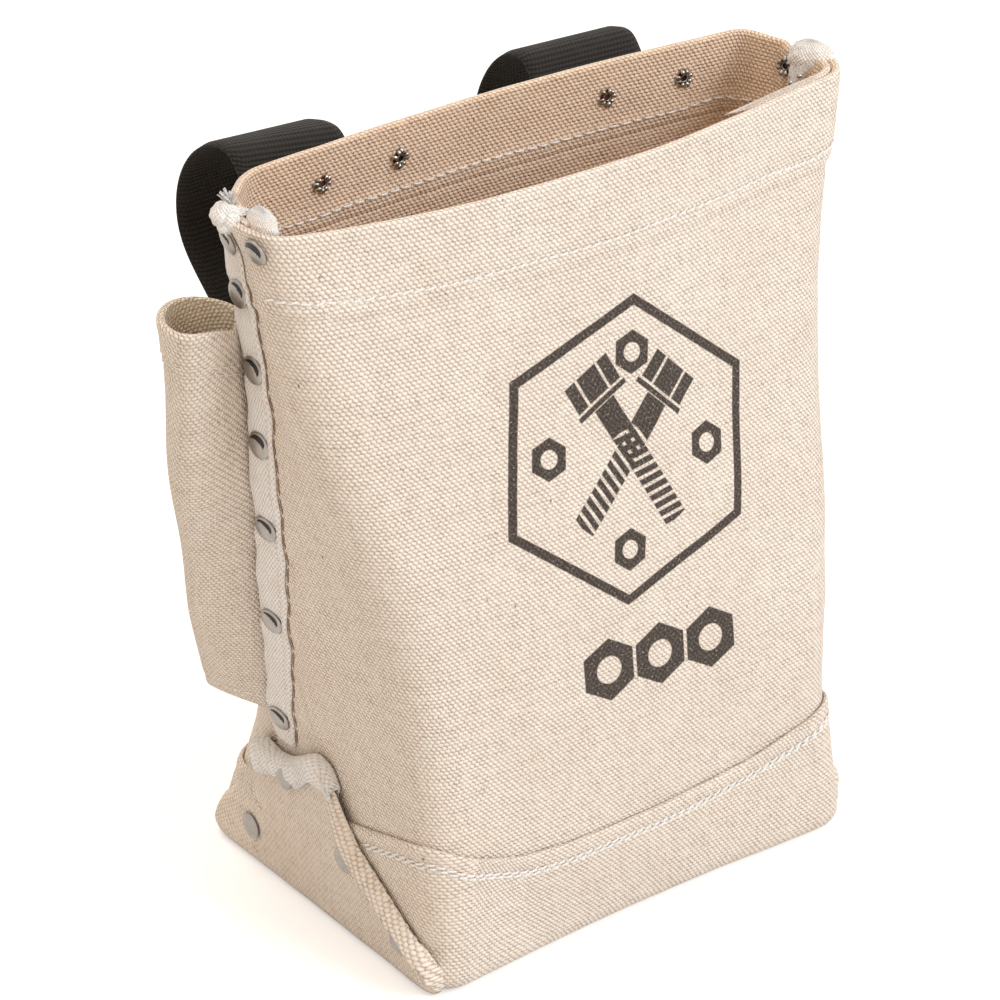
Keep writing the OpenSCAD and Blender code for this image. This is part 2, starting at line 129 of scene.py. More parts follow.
def turned(x, y, angle):
    return x * math.cos(angle) - y * math.sin(angle), x * math.sin(angle) + y * math.cos(angle)


# ---- the lofted wall ----
LEVELS = np.array([0, 0.24, 0.47, 0.75, 1])


def corner_line(foot, rim, sag, cuts):
    """One upright corner of the wall: a point and a rounding at each of the five levels."""
    off = np.array([[0, 0], *sag, [0, 0]], float)
    foot, rim = np.array(foot, float), np.array(rim, float)
    return np.column_stack([foot + (rim - foot) * LEVELS[:, None] + off, np.array(cuts, float)])


LINES = np.array([
    corner_line((-half_w, 12), (left_x + 0.5, SEAM_Y + 6),
                [(0, 4), (-2, -5), (-2.4, -10.5)], [18, 18, 18, 13, 10]),
    corner_line((-half_w - 1.5, -half_d - 1), (left_x + 1, front_y - 1),
                [(7, -5), (9, -8), (-1, -5)], [10, 14, 16, 16, 12]),
    corner_line((0, -half_d + 4), (MOUTH_X - 28, front_y - 23),
                [(0, -7), (0, -6), (0, -3)], [40, 50, 60, 70, 80]),
    corner_line((half_w + 1.5, -half_d - 1.5), (right_x - 5.5, front_y + 1),
                [(-9, -5), (-11, -7.5), (-11.5, -6)], [10, 14, 16, 16, 12]),
    corner_line((half_w, 4), (right_x - 1, SEAM_Y - 1),
                [(4.5, 5), (5, 4.5), (3, 3.5)], [18, 18, 18, 12, 8]),
    corner_line((half_w + 1.5, half_d + 1), (right_x - 6, back_y + 1),
                [(-5.5, -8), (-6, -11), (-2.5, -6.5)], [10, 14, 14, 10, 7]),
    corner_line((0, half_d + 2), (3, back_y + 6.5),
                [(0, -6), (0, -8.5), (0, -5)], [40, 50, 60, 60, 60]),
    corner_line((-half_w - 1.5, half_d + 1), (left_x + 25, back_y - 2),
                [(5.5, -9), (5.5, -10), (2, -4.5)], [10, 14, 14, 10, 7]),
])


def lines_at(z):
    """The eight corner lines at an array of heights, as smooth curves through the five levels."""
    h = np.clip(z / RIM_H, 0, 1)
    i = (h[:, None] > LEVELS[None, 1:4]).sum(1)
    w = LEVELS[i + 1] - LEVELS[i]
    t = (h - LEVELS[i]) / w
    low, high = np.maximum(np.arange(5) - 1, 0), np.minimum(np.arange(5) + 1, 4)
    slope = (LINES[:, high] - LINES[:, low]) / (LEVELS[high] - LEVELS[low])[None, :, None]
    c = [2 * t**3 - 3 * t**2 + 1, (t**3 - 2 * t**2 + t) * w, 3 * t**2 - 2 * t**3, (t**3 - t**2) * w]
    points = (LINES[:, i], slope[:, i], LINES[:, i + 1], slope[:, i + 1])
    return sum(f[None, :, None] * g for f, g in zip(c, points))


def bend(a, b, c, k):
    k = k[:, None]
    return (1 - k) ** 2 * a + 2 * k * (1 - k) * b + k * k * c


def wall(s, z):
    """Plan points of the wall. s counts its corners from the left seam (0), past the front (2) and
    the right seam (4)."""
    s, z = floats(s, z)
    shape = s.shape
    s, z = s.ravel(), z.ravel()
    level, r = np.unique(np.round(z, 3), return_inverse=True)
    v = lines_at(level)
    ahead = np.roll(v, -1, 0)
    side = ahead[..., :2] - v[..., :2]
    long = length(side, True)
    cut_a, cut_b = v[..., 2:3], ahead[..., 2:3]
    k = np.minimum(1, 0.96 * long / (cut_a + cut_b))
    p = v[..., :2] + side / long * cut_a * k
    q = ahead[..., :2] - side / long * cut_b * k
    i, u = np.floor(s).astype(int) % 8, s - np.floor(s)
    j, h = (i + 1) % 8, (i + 7) % 8
    first = bend(q[h, r], v[i, r, :2], p[i, r], 0.5 + 1.5 * u)
    last = bend(q[i, r], v[j, r, :2], p[j, r], 1.5 * u - 1)
    flat = mix(p[i, r], q[i, r], (3 * u - 1)[:, None])
    out = np.where((u < 1 / 3)[:, None], first, np.where((u < 2 / 3)[:, None], flat, last))
    return out.reshape(*shape, 2)


def outward(s, z):
    t = wall(np.asarray(s) + 0.02, z) - wall(np.asarray(s) - 0.02, z)
    return unit(np.stack([t[..., 1], -t[..., 0]], -1))


def past_seam(z, seam, dist):
    """The position s that lies dist past a seam, along the wall."""
    z, dist = floats(z, np.asarray(dist, float) + 1e-9)
    way, x = np.sign(dist), np.abs(dist)
    a = length(wall(seam + way / 3, z) - wall(seam, z)) * 1.03
    b = length(wall(seam + way * 2 / 3, z) - wall(seam + way / 3, z))
    return seam + way * np.where(x < a, x / a / 3, 1 / 3 + (x - a) / b / 3)


# ---- how the cloth departs from the plain loft ----
# 30 waves are drawn and 14 are used, which keeps the order of the draws that come after
WAVES = [(rng.normal(size=3), rng.uniform(0, 6.28)) for _ in range(30)][:14]


def ripple(p, size):
    """Smooth random waves about 1 high, with bumps about size across, in the bag's frame."""
    waves = (np.sin(p @ (way * 2.2 / size) + phase + 11.0 / size) for way, phase in WAVES)
    return sum(waves) / 3.7


def boot_top(s):
    u = np.abs(np.mod(np.asarray(s, float) + 8, 4) - 2)
    y = wall(s, ARC_Z)[..., 1]
    side = np.interp(y, [4 - half_d, EAR_MID - EAR_TIP - 6, EAR_MID - EAR_TIP + 2, half_d - 4],
                     [BOOT_H + BOOT_RISE, BOOT_H + 7, BOOT_H - 3, BOOT_H - BOOT_BACK_DROP])
    rise = np.where(np.mod(s, 8) > 4, -BOOT_BACK_DROP, BOOT_RISE)
    front = BOOT_H + rise * np.sin(np.minimum(u / 1.15, 1) * math.pi / 2) ** 2
    lower = 5.0 * bump(np.mod(s, 8), 3.3, 0.55)          # at the right front corner
    return np.where(u < 1.15, front, side) - lower


def ear_top(s):
    """Height of an ear's upper edge in the CAD, at a position along the wall."""
    y = wall(s, ARC_Z)[..., 1]
    tip = EAR_MID - EAR_TIP
    return np.interp(y, [-half_d, 4 - half_d, 17 - half_d, 34 - half_d, tip, tip + 8,
                         EAR_MID + EAR_TIP, half_d - 16, half_d - 8, half_d],
                     [EAR_END, EAR_END + 4, EAR_H * 0.45, EAR_H * 0.69, EAR_H - 2, EAR_H,
                      EAR_H - EAR_LEAN, EAR_H * 0.65, EAR_H * 0.35, EAR_END - 4])


SEAM_RIVET_Z = mix(TAPE_FOOT, RIM_H, np.array([0.05, 0.27, 0.46, 0.62, 0.75, 0.875]))
BESIDE_Z = RIM_H - HEAD_D / 2 - 1.5
RIVETS = []                                # (s, z, seat of the head, seat of the clinch, group)
for (seam, _, side_name), beside in zip(SEAMS, (0.78, 0.35)):
    name = side_name + "_seam_rivets"
    RIVETS += [(seam, z, TAPE_OUT, -2 * PLY + PLY_GAP, name) for z in SEAM_RIVET_Z]
    RIVETS.append((seam, RIM_H - 8, TAPE_OUT, RIM_IN - TAPE_OUT, name))
    RIVETS.append((seam + beside, BESIDE_Z, 0, RIM_IN, name))
for seam, way, side_name in SEAMS:
    name = side_name + "_ear_rivets"
    RIVETS.append((seam + way * 0.1, EAR_H - 8, EAR_OUT + TAPE_OUT, -2 * PLY, name))
    RIVETS += [(seam + way * a, EAR_H * b, EAR_OUT, -2 * PLY, name)
               for a, b in ((-0.4, 0.28), (0.45, 0.56), (0.63, 0.26))]
RIVET_POINTS = np.array([[*wall(s, z), z] for s, z, *_ in RIVETS])


def hem_fold(s):
    """Height of the hem's folded edge, which rises a little at the left front corner."""
    return FOLD_Z + 3.7 * bump(np.mod(s, 8), 1.15, 0.62)


def relief(s, z, inner=False):
    """Sag, creases and puckers of the wall, outwards."""
    s, z = floats(s, z)
    p = np.concatenate([wall(s, z), z[..., None]], -1)
    s = np.mod(s, 8)
    lively = smooth(4, 40, z)
    d = 0.75 * ripple(p, 62) * lively + 0.3 * ripple(p, 27) * lively + 0.1 * ripple(p, 11)
    # the hem is two plies thick and stands out over its folded edge
    above = z - hem_fold(s)
    d = d + 0.7 * smooth(-1.3, 1.0, above) - 0.4 * bump(above, -2.2, 2.4)
    # the stitch row draws the cloth in, and small puckers run from it
    pull = ripple(p * np.array([1, 1, 0.25]), 5.5)
    d = d - 0.38 * bump(above, HEM_ROW, 1.5) + 0.16 * pull * bump(above, -1, 9)
    # rivets sink into the cloth and gather it
    for q in RIVET_POINTS:
        r = length(p - q)
        d = d - 0.45 * bump(r, 0, 5.5) + 0.22 * bump(r, 7.5, 3.0)
    for seam, way, _ in SEAMS:
        x = np.where(s > seam + 4, s - 8, s) - seam
        # creases run down from the seam rivets
        reach = np.exp(-np.abs(x) * 3.2) * smooth(0, 0.12, np.abs(x))
        crease = np.sin((z - 22 * np.abs(x)) * 2 * math.pi / 17.5)
        d = d + 0.42 * reach * crease * smooth(50, 80, z) * smooth(252, 225, z)
        # the lap swells behind the seam, and higher up sinks ahead of it: the tape turns forward
        ahead = way * x * length(wall(seam + 0.1, z) - wall(seam - 0.1, z)) / 0.2
        upper = smooth(165, 222, z)
        swell = (1 - upper) * smooth(6.5, -6, ahead) * smooth(-15, -6.5, ahead)
        sink = upper * smooth(-7.5, 4, ahead) * smooth(26, 9, ahead)
        ends = smooth(55, 75, z) * smooth(254, 238, z)
        d = d + (SEAM_SWELL * swell - SEAM_SINK * sink) * ends
    return d * (0.8 if inner else 1)


def on_wall(s, z, d, inner=False):
    """Points at (s, z), offset outwards by d from the wall as the cloth really lies."""
    s, z, d = floats(s, z, d)
    off = d + relief(s, z, inner)
    return np.concatenate([wall(s, z) + outward(s, z) * off[..., None], z[..., None]], -1)


def on_edge(s, angle, d):
    """Points on the rounded bottom edge; angle is in degrees below the level of the wall's foot."""
    s, angle, d = floats(s, angle, d)
    a = np.radians(angle)
    off = (EDGE_R + d) * np.cos(a) - EDGE_R + relief(s, ARC_Z) * np.cos(a)
    z = ARC_Z - (EDGE_R + d) * np.sin(a)
    return np.concatenate([wall(s, ARC_Z) + outward(s, ARC_Z) * off[..., None], z[..., None]], -1)


def facing(s, z):
    """Unit vector square to the outside of the wall, with the relief."""
    du = on_wall(s + 0.06, z, 0) - on_wall(s - 0.06, z, 0)
    dv = on_wall(s, z + 2.5, 0) - on_wall(s, z - 2.5, 0)
    return unit(np.cross(du, dv))


# ---- meshes ----
def add_object(name, points, faces, uv=None):
    mesh = bpy.data.meshes.new(name)
    mesh.from_pydata((np.asarray(points, float) * MM).tolist(), [], faces)
    if uv is not None:
        mesh.uv_layers.new(name="cloth").data.foreach_set("uv", np.asarray(uv, np.float32).ravel())
    mesh.update()
    mesh.polygons.foreach_set("use_smooth", [True] * len(mesh.polygons))
    obj = bpy.data.objects.new(name, mesh)
    bpy.context.scene.collection.objects.link(obj)
    return obj


def arc_lengths(grid, axis, start=0):
    """Running length of a grid of points along an axis, nought at index start."""
    step = length(np.diff(grid, axis=axis))
    total = np.concatenate([np.zeros_like(np.take(step, [0], axis)), np.cumsum(step, axis)], axis)
    return total - np.take(total, [start], axis)


class Piece:
    """Gathers grids of points into one mesh, whose UVs are millimetres along the cloth's yarns."""

    def __init__(self):
        self.points, self.faces, self.uvs, self.slots, self.count = [], [], [], [], 0

    def add(self, faces, uvs, flip=False, slot=0):
        way = -1 if flip else 1
        self.faces += faces[:, ::way].tolist()
        self.slots.append(np.broadcast_to(np.ravel(slot), len(faces)))
        if uvs is not None:
            self.uvs.append(uvs[:, ::way].reshape(-1, 2))

    def grid(self, pts, uv, ring=False, flip=False, slot=0):
        rows, cols = pts.shape[:2]
        base = self.count
        self.points.append(pts.reshape(-1, 3))
        self.count += rows * cols
        r, c = np.divmod(np.arange((rows - 1) * cols), cols)
        if not ring:
            r, c = r[c < cols - 1], c[c < cols - 1]
        n = (c + 1) % cols
        quads = np.stack([r * cols + c, r * cols + n, (r + 1) * cols + n, (r + 1) * cols + c], 1)
        uvs = None
        if uv is not None:
            flat = uv.reshape(-1, 2)
            uvs = flat[quads]
            wrap = n == 0                         # there the UVs run on past the ring's own seam
            step = flat[quads[wrap, 0]] - flat[quads[wrap, 0] - 1]
            uvs[wrap, 1], uvs[wrap, 2] = uvs[wrap, 0] + step, uvs[wrap, 3] + step
        self.add(quads + base, uvs, flip, slot)
        return base

    def tube(self, pts, uv=None, flip=False, slot=0, cap_slot=0):
        """A ring grid with a flat cap at each end."""
        rows, cols = pts.shape[:2]
        base = self.grid(pts, uv, True, flip, slot)
        for row, turn in ((0, not flip), (rows - 1, flip)):
            ids = base + row * cols + np.arange(cols)
            self.add(ids[None], None if uv is None else uv[row][None], turn, cap_slot)

    def sheet(self, outer, inner, uv_outer, uv_inner, ring=False, inner_slot=0):
        """A closed sheet between an outer and an inner grid."""
        rows, cols = outer.shape[:2]
        a = self.grid(outer, uv_outer, ring)
        b = self.grid(inner, uv_inner, ring, True, inner_slot)
        ids = np.arange(rows * cols).reshape(rows, cols)
        flat_a, flat_b = uv_outer.reshape(-1, 2), uv_inner.reshape(-1, 2)
        edges = [(ids[0], True), (ids[-1], False)]
        if ring:
            edges = [(np.append(row, row[0]), turn) for row, turn in edges]
        else:
            edges += [(ids[:, 0], False), (ids[:, -1], True)]
        for line, turn in edges:
            quads = np.stack([line[:-1], line[1:], line[1:], line[:-1]], 1)
            uvs = [flat[quads[:, k]] for k, flat in enumerate((flat_a, flat_a, flat_b, flat_b))]
            self.add(quads + [a, a, b, b], np.stack(uvs, 1), turn)

    def make(self, name, looks, nodes=()):
        uv = np.concatenate(self.uvs) if self.uvs else None
        obj = add_object(name, np.concatenate(self.points), self.faces, uv)
        for look in looks:
            obj.data.materials.append(look)
        slots = np.concatenate(self.slots).astype(np.int32)
        obj.data.polygons.foreach_set("material_index", slots)
        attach(obj, "root")
        if nodes:
            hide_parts(*nodes)
        return obj


def make_sheet(name, looks, node, slot, outer, inner, uv, inner_uv=None, ring=False):
    """A visible sheet; where there are two looks, the second is for its inner face."""
    piece = Piece()
    if inner_uv is None:
        inner_uv = uv + INNER_UV
    piece.sheet(outer, inner, uv, inner_uv, ring, len(looks) - 1)
    return piece.make(name, looks, [node])


# ---- materials ----
class Look:
    """A material's node tree, built line by line."""

    def __init__(self, name, roughness=0.9, metallic=0.0, sheen=0.0, specular=0.3):
        self.material = bpy.data.materials.new(name)
        self.material.use_nodes = True
        self.tree = self.material.node_tree
        self.shader = self.tree.nodes["Principled BSDF"]
        for socket, value in (("Roughness", roughness), ("Metallic", metallic),
                              ("Sheen Weight", sheen), ("Specular IOR Level", specular)):
            self.shader.inputs[socket].default_value = value
        if sheen:
            self.shader.inputs["Sheen Roughness"].default_value = 0.55
        uv = self.tree.nodes.new("ShaderNodeUVMap")
        uv.uv_map = "cloth"
        self.uv = uv.outputs[0]

    def put(self, node, index, value):
        if isinstance(value, bpy.types.NodeSocket):
            self.tree.links.new(value, node.inputs[index])
        elif value is not None:
            node.inputs[index].default_value = value

    def node(self, kind, *inputs, **sockets):
        """A node with its first inputs in order, and others by name."""
        node = self.tree.nodes.new("ShaderNode" + kind)
        for index, value in [*enumerate(inputs), *sockets.items()]:
            self.put(node, index, value)
        return node

    def math(self, operation, *inputs):
        node = self.node("Math", *inputs)
        node.operation = operation
        return node.outputs[0]

    def add(self, a, b):
        return self.math("ADD", a, b)

    def sub(self, a, b):
        return self.math("SUBTRACT", a, b)

    def mul(self, a, b):
        return self.math("MULTIPLY", a, b)

    def mul_add(self, a, b, c):
        return self.math("MULTIPLY_ADD", a, b, c)

    def split(self, vector):
        return self.node("SeparateXYZ", vector).outputs[:2]

    def join(self, x, y):
        return self.node("CombineXYZ", x, y).outputs[0]

    def noise(self, scale, detail=2.0, rough=0.5, at=None):
        return self.node("TexNoise", Vector=at or self.uv, Scale=scale, Detail=detail,
                         Roughness=rough).outputs[0]

    def stretch(self, vector, *scales):
        node = self.node("VectorMath", vector, scales)
        node.operation = "MULTIPLY"
        return node.outputs[0]

    def ramp(self, value, *stops):
        node = self.node("ValToRGB", value)
        elements = node.color_ramp.elements
        while len(elements) < len(stops):
            elements.new(0.5)
        for element, (place, colour) in zip(elements, stops):
            element.position = place
            element.color = (*colour, 1)
        return node.outputs[0]

    def fit(self, value, low, high, to_low=0.0, to_high=1.0):
        return self.node("MapRange", value, low, high, to_low, to_high).outputs[0]

    def blend(self, factor, a, b, kind="MIX"):
        node = self.node("Mix", factor)
        node.data_type, node.blend_type = "RGBA", kind
        for i, value in ((6, a), (7, b)):
            self.put(node, i, (*value, 1) if isinstance(value, tuple) else value)
        return node.outputs[2]

    def done(self, height, depth, **sockets):
        """The finished material, with a height in yarns or waves as its relief."""
        bump_node = self.node("Bump", Strength=1.0, Distance=depth * MM, Height=height)
        self.put(self.shader, "Normal", bump_node.outputs[0])
        for name, value in sockets.items():
            self.put(self.shader, name.replace("_", " "), value)
        return self.material


def scaled(colour, k, more=0.0):
    return tuple(k * c + more for c in colour)


def crowns(look, pitch_u, pitch_v, wide=0.45, tall=0.42, wobble=0.06, lean=0.0):
    """Height of the yarn crowns of a plain weave, which lie in brick order: 1 on a crown, and
    below 0 in the gaps."""
    drift_a, drift_b = look.sub(look.noise(0.16), 0.5), look.sub(look.noise(0.45), 0.5)
    u, v = look.split(look.uv)
    u = look.mul_add(drift_a, wobble * 8, look.mul_add(drift_b, wobble * 3, u))
    v = look.mul_add(drift_b, wobble * 6, look.mul_add(drift_a, wobble * 6, v))
    u, v = look.mul(u, 1 / pitch_u), look.mul(v, 1 / pitch_v)

    def lattice(shift):
        x, y = (look.sub(look.math("FRACT", look.add(place, shift)), 0.5) for place in (u, v))
        total = look.mul_add(look.mul(x, x), 1 / wide**2, look.mul(look.mul(y, y), 1 / tall**2))
        return look.mul_add(look.mul(x, y), lean, total) if lean else total

    return look.sub(1.0, look.math("MINIMUM", lattice(0.0), lattice(0.5))), u, v


def dots(look, scale, squash, chance, low, high, ragged=0.0):
    """Dark specks at random places; chance is the share of cells that have none."""
    cells = look.node("TexVoronoi", Vector=look.stretch(look.uv, 1.0, squash, 1.0), Scale=scale)
    chosen = look.math("GREATER_THAN", look.split(cells.outputs["Color"])[0], chance)
    far = cells.outputs["Distance"]
    if ragged:
        far = look.mul_add(look.noise(2.0), ragged, far)
    return look.mul(look.fit(far, low, high), chosen)


def canvas(name, light, gap, print_shape=None):
    """Natural duck: round slubby yarns with a painted highlight on their crowns and painted shade in
    the gaps between them, seed specks and faint blotches.
    """
    look = Look(name, roughness=0.92, sheen=0.1, specular=0.15)
    height, u, v = crowns(look, pitch_u=1.8, pitch_v=2.45, wide=0.52, tall=0.3, lean=2.2)
    yarn_u, yarn_v = (look.math("FLOOR", look.mul(place, 2.0)) for place in (u, v))
    slub_u = look.noise(1.7, 1, at=look.join(yarn_u, look.mul(v, 0.11)))
    slub_v = look.noise(2.3, 1, at=look.join(look.mul(u, 0.09), yarn_v))
    fuzz = look.noise(1.1, 3, 0.65)
    full = look.mul_add(look.sub(look.add(slub_u, slub_v), 1.0), 0.75, height)
    full = look.mul_add(look.sub(fuzz, 0.5), 1.1, full)
    # the colour follows the yarns' height: the gap colour is painted shade between the yarns, and the
    # brightest stop is a painted highlight on their crowns
    tone = look.fit(full, -0.66, 0.98)
    half = tuple(mix(np.array(gap), np.array(light), 0.55))
    crown_highlight = tuple(min(1, c * 1.16 + 0.03) for c in light)
    colour = look.ramp(tone, (0.05, gap), (0.26, half), (0.56, light), (0.92, crown_highlight))
    shade = look.blend(1.0, colour, (0.97, 0.95, 0.93), "MULTIPLY")
    colour = look.blend(look.fit(look.noise(0.035, 3, 0.55), 0.35, 0.7), colour, shade)
    seeds = dots(look, 0.095, squash=0.62, chance=0.42, low=0.062, high=0.044, ragged=0.045)
    colour = look.blend(look.mul(seeds, 0.8), colour, (0.075, 0.042, 0.025))
    small = dots(look, 0.21, squash=1.0, chance=0.6, low=0.085, high=0.05)
    colour = look.blend(look.mul(small, 0.45), colour, (0.16, 0.09, 0.05))
    if print_shape:
        edge = look.mul_add(full, 0.22, print_shape(look))
        cover = look.mul(look.fit(edge, -0.05, 0.25), look.fit(fuzz, 0.70, 0.58, 0.55, 0.97))
        # the ink is also painted darker in the gaps and lighter on the crowns
        ink = look.ramp(tone, (0.1, (0.026, 0.018, 0.014)), (0.8, (0.062, 0.046, 0.038)))
        colour = look.blend(cover, colour, ink)
    return look.done(full, 0.5, Base_Color=colour)


def bolt_print(look):
    """Ink on the front, as a depth in millimetres inside its edges: two crossed bolts and four
    nuts in a nut-shaped ring, over a row of three large nuts."""
    add, sub, mul, mul_add = look.add, look.sub, look.mul, look.mul_add

    def size_of(x):
        return look.math("ABSOLUTE", x)

    def turn(x, y, angle):
        c, s = math.cos(angle), math.sin(angle)
        return mul_add(x, c, mul(y, s)), mul_add(y, c, mul(x, -s))

    def within(x, half):
        return sub(half, size_of(x))

    def merge(operation, first, *others):
        for shape in others:
            first = look.math(operation, first, shape)
        return first

    def hexagon(x, y, radius, squeeze=1.0):
        a, b = size_of(x), size_of(y)
        slope = mul_add(a, 0.5, mul(b, 0.866 * squeeze))
        return sub(radius, merge("MAXIMUM", a, slope))

    def nut(x, y, radius):
        hole = sub(look.math("SQRT", mul_add(x, x, mul(y, y))), radius * 0.5)
        return merge("MINIMUM", hexagon(x, y, radius), hole)

    def bolt(x, y, angle):
        across, along = turn(x, y, angle)
        facets = sub(size_of(sub(size_of(across), 4.6)), 0.5)
        head = merge("MINIMUM", within(across, 9.5), within(sub(along, 25.5), 5.0), facets)
        collar = merge("MINIMUM", within(across, 10.5), within(sub(along, 18.7), 0.9))
        cut = look.math("FRACT", mul(mul_add(across, 0.3, along), 1 / 3.4))
        thread = mul(sub(size_of(sub(cut, 0.5)), 0.18), 3.4)
        shank = merge("MINIMUM", within(across, 4.3), within(add(along, 7.0), 24.5))
        plain_end = sub(along, 6.0)
        shank = merge("MINIMUM", shank, merge("MAXIMUM", thread, plain_end))
        return merge("MAXIMUM", head, collar, shank)

    u, v = look.split(look.uv)
    x, y = turn(sub(u, 16.0), sub(v, 163.5), math.radians(-12.5))
    ring = within(add(hexagon(x, y, 45.5, 1.04), -1.6), 1.6)
    small = merge("MAXIMUM", nut(sub(size_of(x), 31.0), y, 6.2), nut(x, sub(size_of(y), 32.0), 6.2))
    y = sub(y, 2.0)
    crossed = merge("MAXIMUM", bolt(x, y, 0.62), bolt(x, y, -0.62))
    x, y = turn(sub(u, 15.5), sub(v, 93.0), math.radians(-4))
    pitch = 20.5
    place = merge("MINIMUM", look.math("ROUND", mul(x, 1 / pitch)), 1.0)
    place = merge("MAXIMUM", place, -1.0)
    row = nut(mul_add(place, -pitch, x), y, 9.6)
    return merge("MAXIMUM", ring, small, crossed, row)


# GAP is the painted shade in the gaps between the yarns; LIGHT is the yarns' own colour
LIGHT, GAP = (0.882, 0.772, 0.69), (0.37, 0.23, 0.145)
duck = canvas("duck_canvas", LIGHT, GAP)
duck_printed = canvas("duck_canvas_printed", LIGHT, GAP, print_shape=bolt_print)
# the inside faces of the bag get a warmer copy of the canvas with darker gaps: painted shade and warm
# bounced light inside the bag
duck_inside_painted_shade = canvas("duck_canvas_inside_painted_shade", (0.925, 0.675, 0.512), (0.25, 0.15, 0.09))
# the inside of the sleeve gets a brighter, warmer copy of the canvas: painted light that comes
# through its cloth
duck_sleeve_painted_light = canvas("duck_canvas_sleeve_inside_painted_light", (0.98, 0.80, 0.66), (0.36, 0.22, 0.14))


def tape_of(name, pitch_u, pitch_v, depth, light, gap, wide=0.45, tall=0.42):
    look = Look(name, roughness=0.8, sheen=0.9, specular=0.25)
    height = crowns(look, pitch_u, pitch_v, wide, tall, wobble=0.07)[0]
    full = look.mul_add(look.sub(look.noise(1.2, 3, 0.65), 0.5), 1.0, height)
    # the colour follows the yarns' height: painted shade in the gaps and a painted highlight on the
    # crowns
    half = tuple(mix(np.array(gap), np.array(light), 0.6))
    colour = look.ramp(look.fit(full, -0.45, 1.0), (0.05, gap), (0.28, half), (0.6, light),
                       (0.95, tuple(max(0.95, c) for c in light)))
    stained = look.blend(1.0, colour, (0.95, 0.88, 0.83), "MULTIPLY")
    colour = look.blend(look.fit(look.noise(0.11, 3), 0.45, 0.75), colour, stained)
    return look.done(full, depth, Base_Color=colour)


tape_look = tape_of("white_tape", 1.15, 2.2, 0.32, (0.93, 0.885, 0.85), (0.46, 0.37, 0.32))
binding_look = tape_of("white_binding", 2.3, 2.2, 0.5, (0.99, 0.985, 0.98), (0.27, 0.18, 0.13),
                       0.46, 0.43)
knot_look = tape_of("white_knot", 1.5, 1.5, 0.3, (0.985, 0.975, 0.965), (0.70, 0.63, 0.59))


def webbing_of(name, light):
    """Ribs along the webbing, crossed by picks that step over from rib to rib."""
    look = Look(name, roughness=0.7, sheen=0.03, specular=0.22)
    rib_pitch, pick_pitch, whole = 1.55, 1.3, 2 * math.pi
    u, v = look.split(look.uv)
    rib = look.math("SINE", look.mul(v, whole / rib_pitch))
    number = look.math("FLOOR", look.mul(v, 1 / rib_pitch))
    pick = look.math("SINE", look.mul_add(number, math.pi, look.mul(u, whole / pick_pitch)))
    height = look.mul_add(pick, 0.16, look.mul(look.noise(1.6, 2, 0.6), 0.35))
    height = look.mul_add(rib, 0.30, height)
    # the colour follows the height: painted shade between the ribs and picks, and a painted highlight
    # on their tops
    colour = look.ramp(look.fit(height, -0.25, 0.65), (0.1, scaled(light, 0.35)), (0.65, light),
                       (1.0, scaled(light, 1.7)))
    wear = look.fit(look.noise(0.09, 3), 0.5, 0.85)
    return look.done(height, 0.45, Base_Color=look.blend(wear, colour, scaled(light, 1.25, 0.004)))


web_look = webbing_of("black_webbing", (0.022, 0.0175, 0.0135))


def metal_of(name, colour, roughness, tint=None):
    look = Look(name, roughness=roughness, metallic=1.0, specular=0.5)
    place = look.node("TexCoord").outputs["Object"]
    cloud = look.noise(420, 4, 0.6, at=place)
    brushed = look.noise(900, 3, 0.6, at=look.stretch(place, 1, 6, 1))
    tone = look.blend(look.fit(cloud, 0.35, 0.7), colour, tint or scaled(colour, 0.8))
    rough = look.fit(brushed, 0.3, 0.7, roughness - 0.08, roughness + 0.1)
    return look.done(cloud, 0.03, Base_Color=tone, Roughness=rough)


rivet_look = metal_of("rivet_nickel", (0.40, 0.365, 0.335), 0.42)
# this near-black metal is painted shade in the heads' dents, and under the petals of most clinches
dent_painted_shade_look = metal_of("rivet_dent_painted_shade", (0.055, 0.05, 0.046), 0.4)
clinch_look = metal_of("rivet_clinch", (0.56, 0.52, 0.46), 0.26, tint=(0.22, 0.19, 0.155))
copper_look = metal_of("clinch_core", (0.30, 0.12, 0.08), 0.45, tint=(0.16, 0.07, 0.05))


def thread_of(name, colour):
    look = Look(name, roughness=0.75, sheen=0.15, specular=0.3)
    u, v = look.split(look.uv)
    twist = look.mul_add(u, 2 * math.pi / 0.9, look.mul(v, 2 * math.pi))
    twist = look.math("SINE", twist)
    # the twist's grooves are painted up to 14 percent darker: painted shade
    tone = look.blend(look.fit(twist, -1, 1), scaled(colour, 0.86), colour)
    return look.done(twist, 0.06, Base_Color=tone)


thread_white = thread_of("thread_white", (0.97, 0.95, 0.93))
thread_cream = thread_of("thread_cream", (0.92, 0.85, 0.77))
# the brown thread look paints the shadow line along the seam tapes' edges
thread_painted_shadow_brown = thread_of("thread_painted_shadow_brown", (0.30, 0.17, 0.10))


# ---- panels ----
WALL_ROWS = rows_of(np.arange(ARC_Z, FOLD_Z - 9, 2.3), np.arange(FOLD_Z - 8.5, FOLD_Z - 1, 1.0),
                    FOLD_Z - 0.6, FOLD_Z - 0.2, FOLD_Z + 0.3, FOLD_Z + 1,
                    np.arange(FOLD_Z + 2, RIM_H - 1.6, 1.1))
RIM_TURN = np.radians([0, 18, 36, 54, 72, 86])
TURN = np.array([75, 60, 45, 30, 15.0])


def no_tuck(s, z):
    return 0 * (s + z)


def back_tuck(s, z):
    """The back panel lies deeper at its ends, where the front panel laps over it."""
    s, z = floats(s, z)
    lapped, fade = 0, 6
    for seam, way in ((4, 1), (8, -1)):
        near, far = (past_seam(z, seam, way * (SEAM_LAP + 1 + more)) for more in (0, fade))
        lapped = np.maximum(lapped, 1 - smooth(0, 1, (s - near) / (far - near)))
    return PLY * (1 + smooth(FOLD_Z - 5, FOLD_Z - 1, z)) * lapped


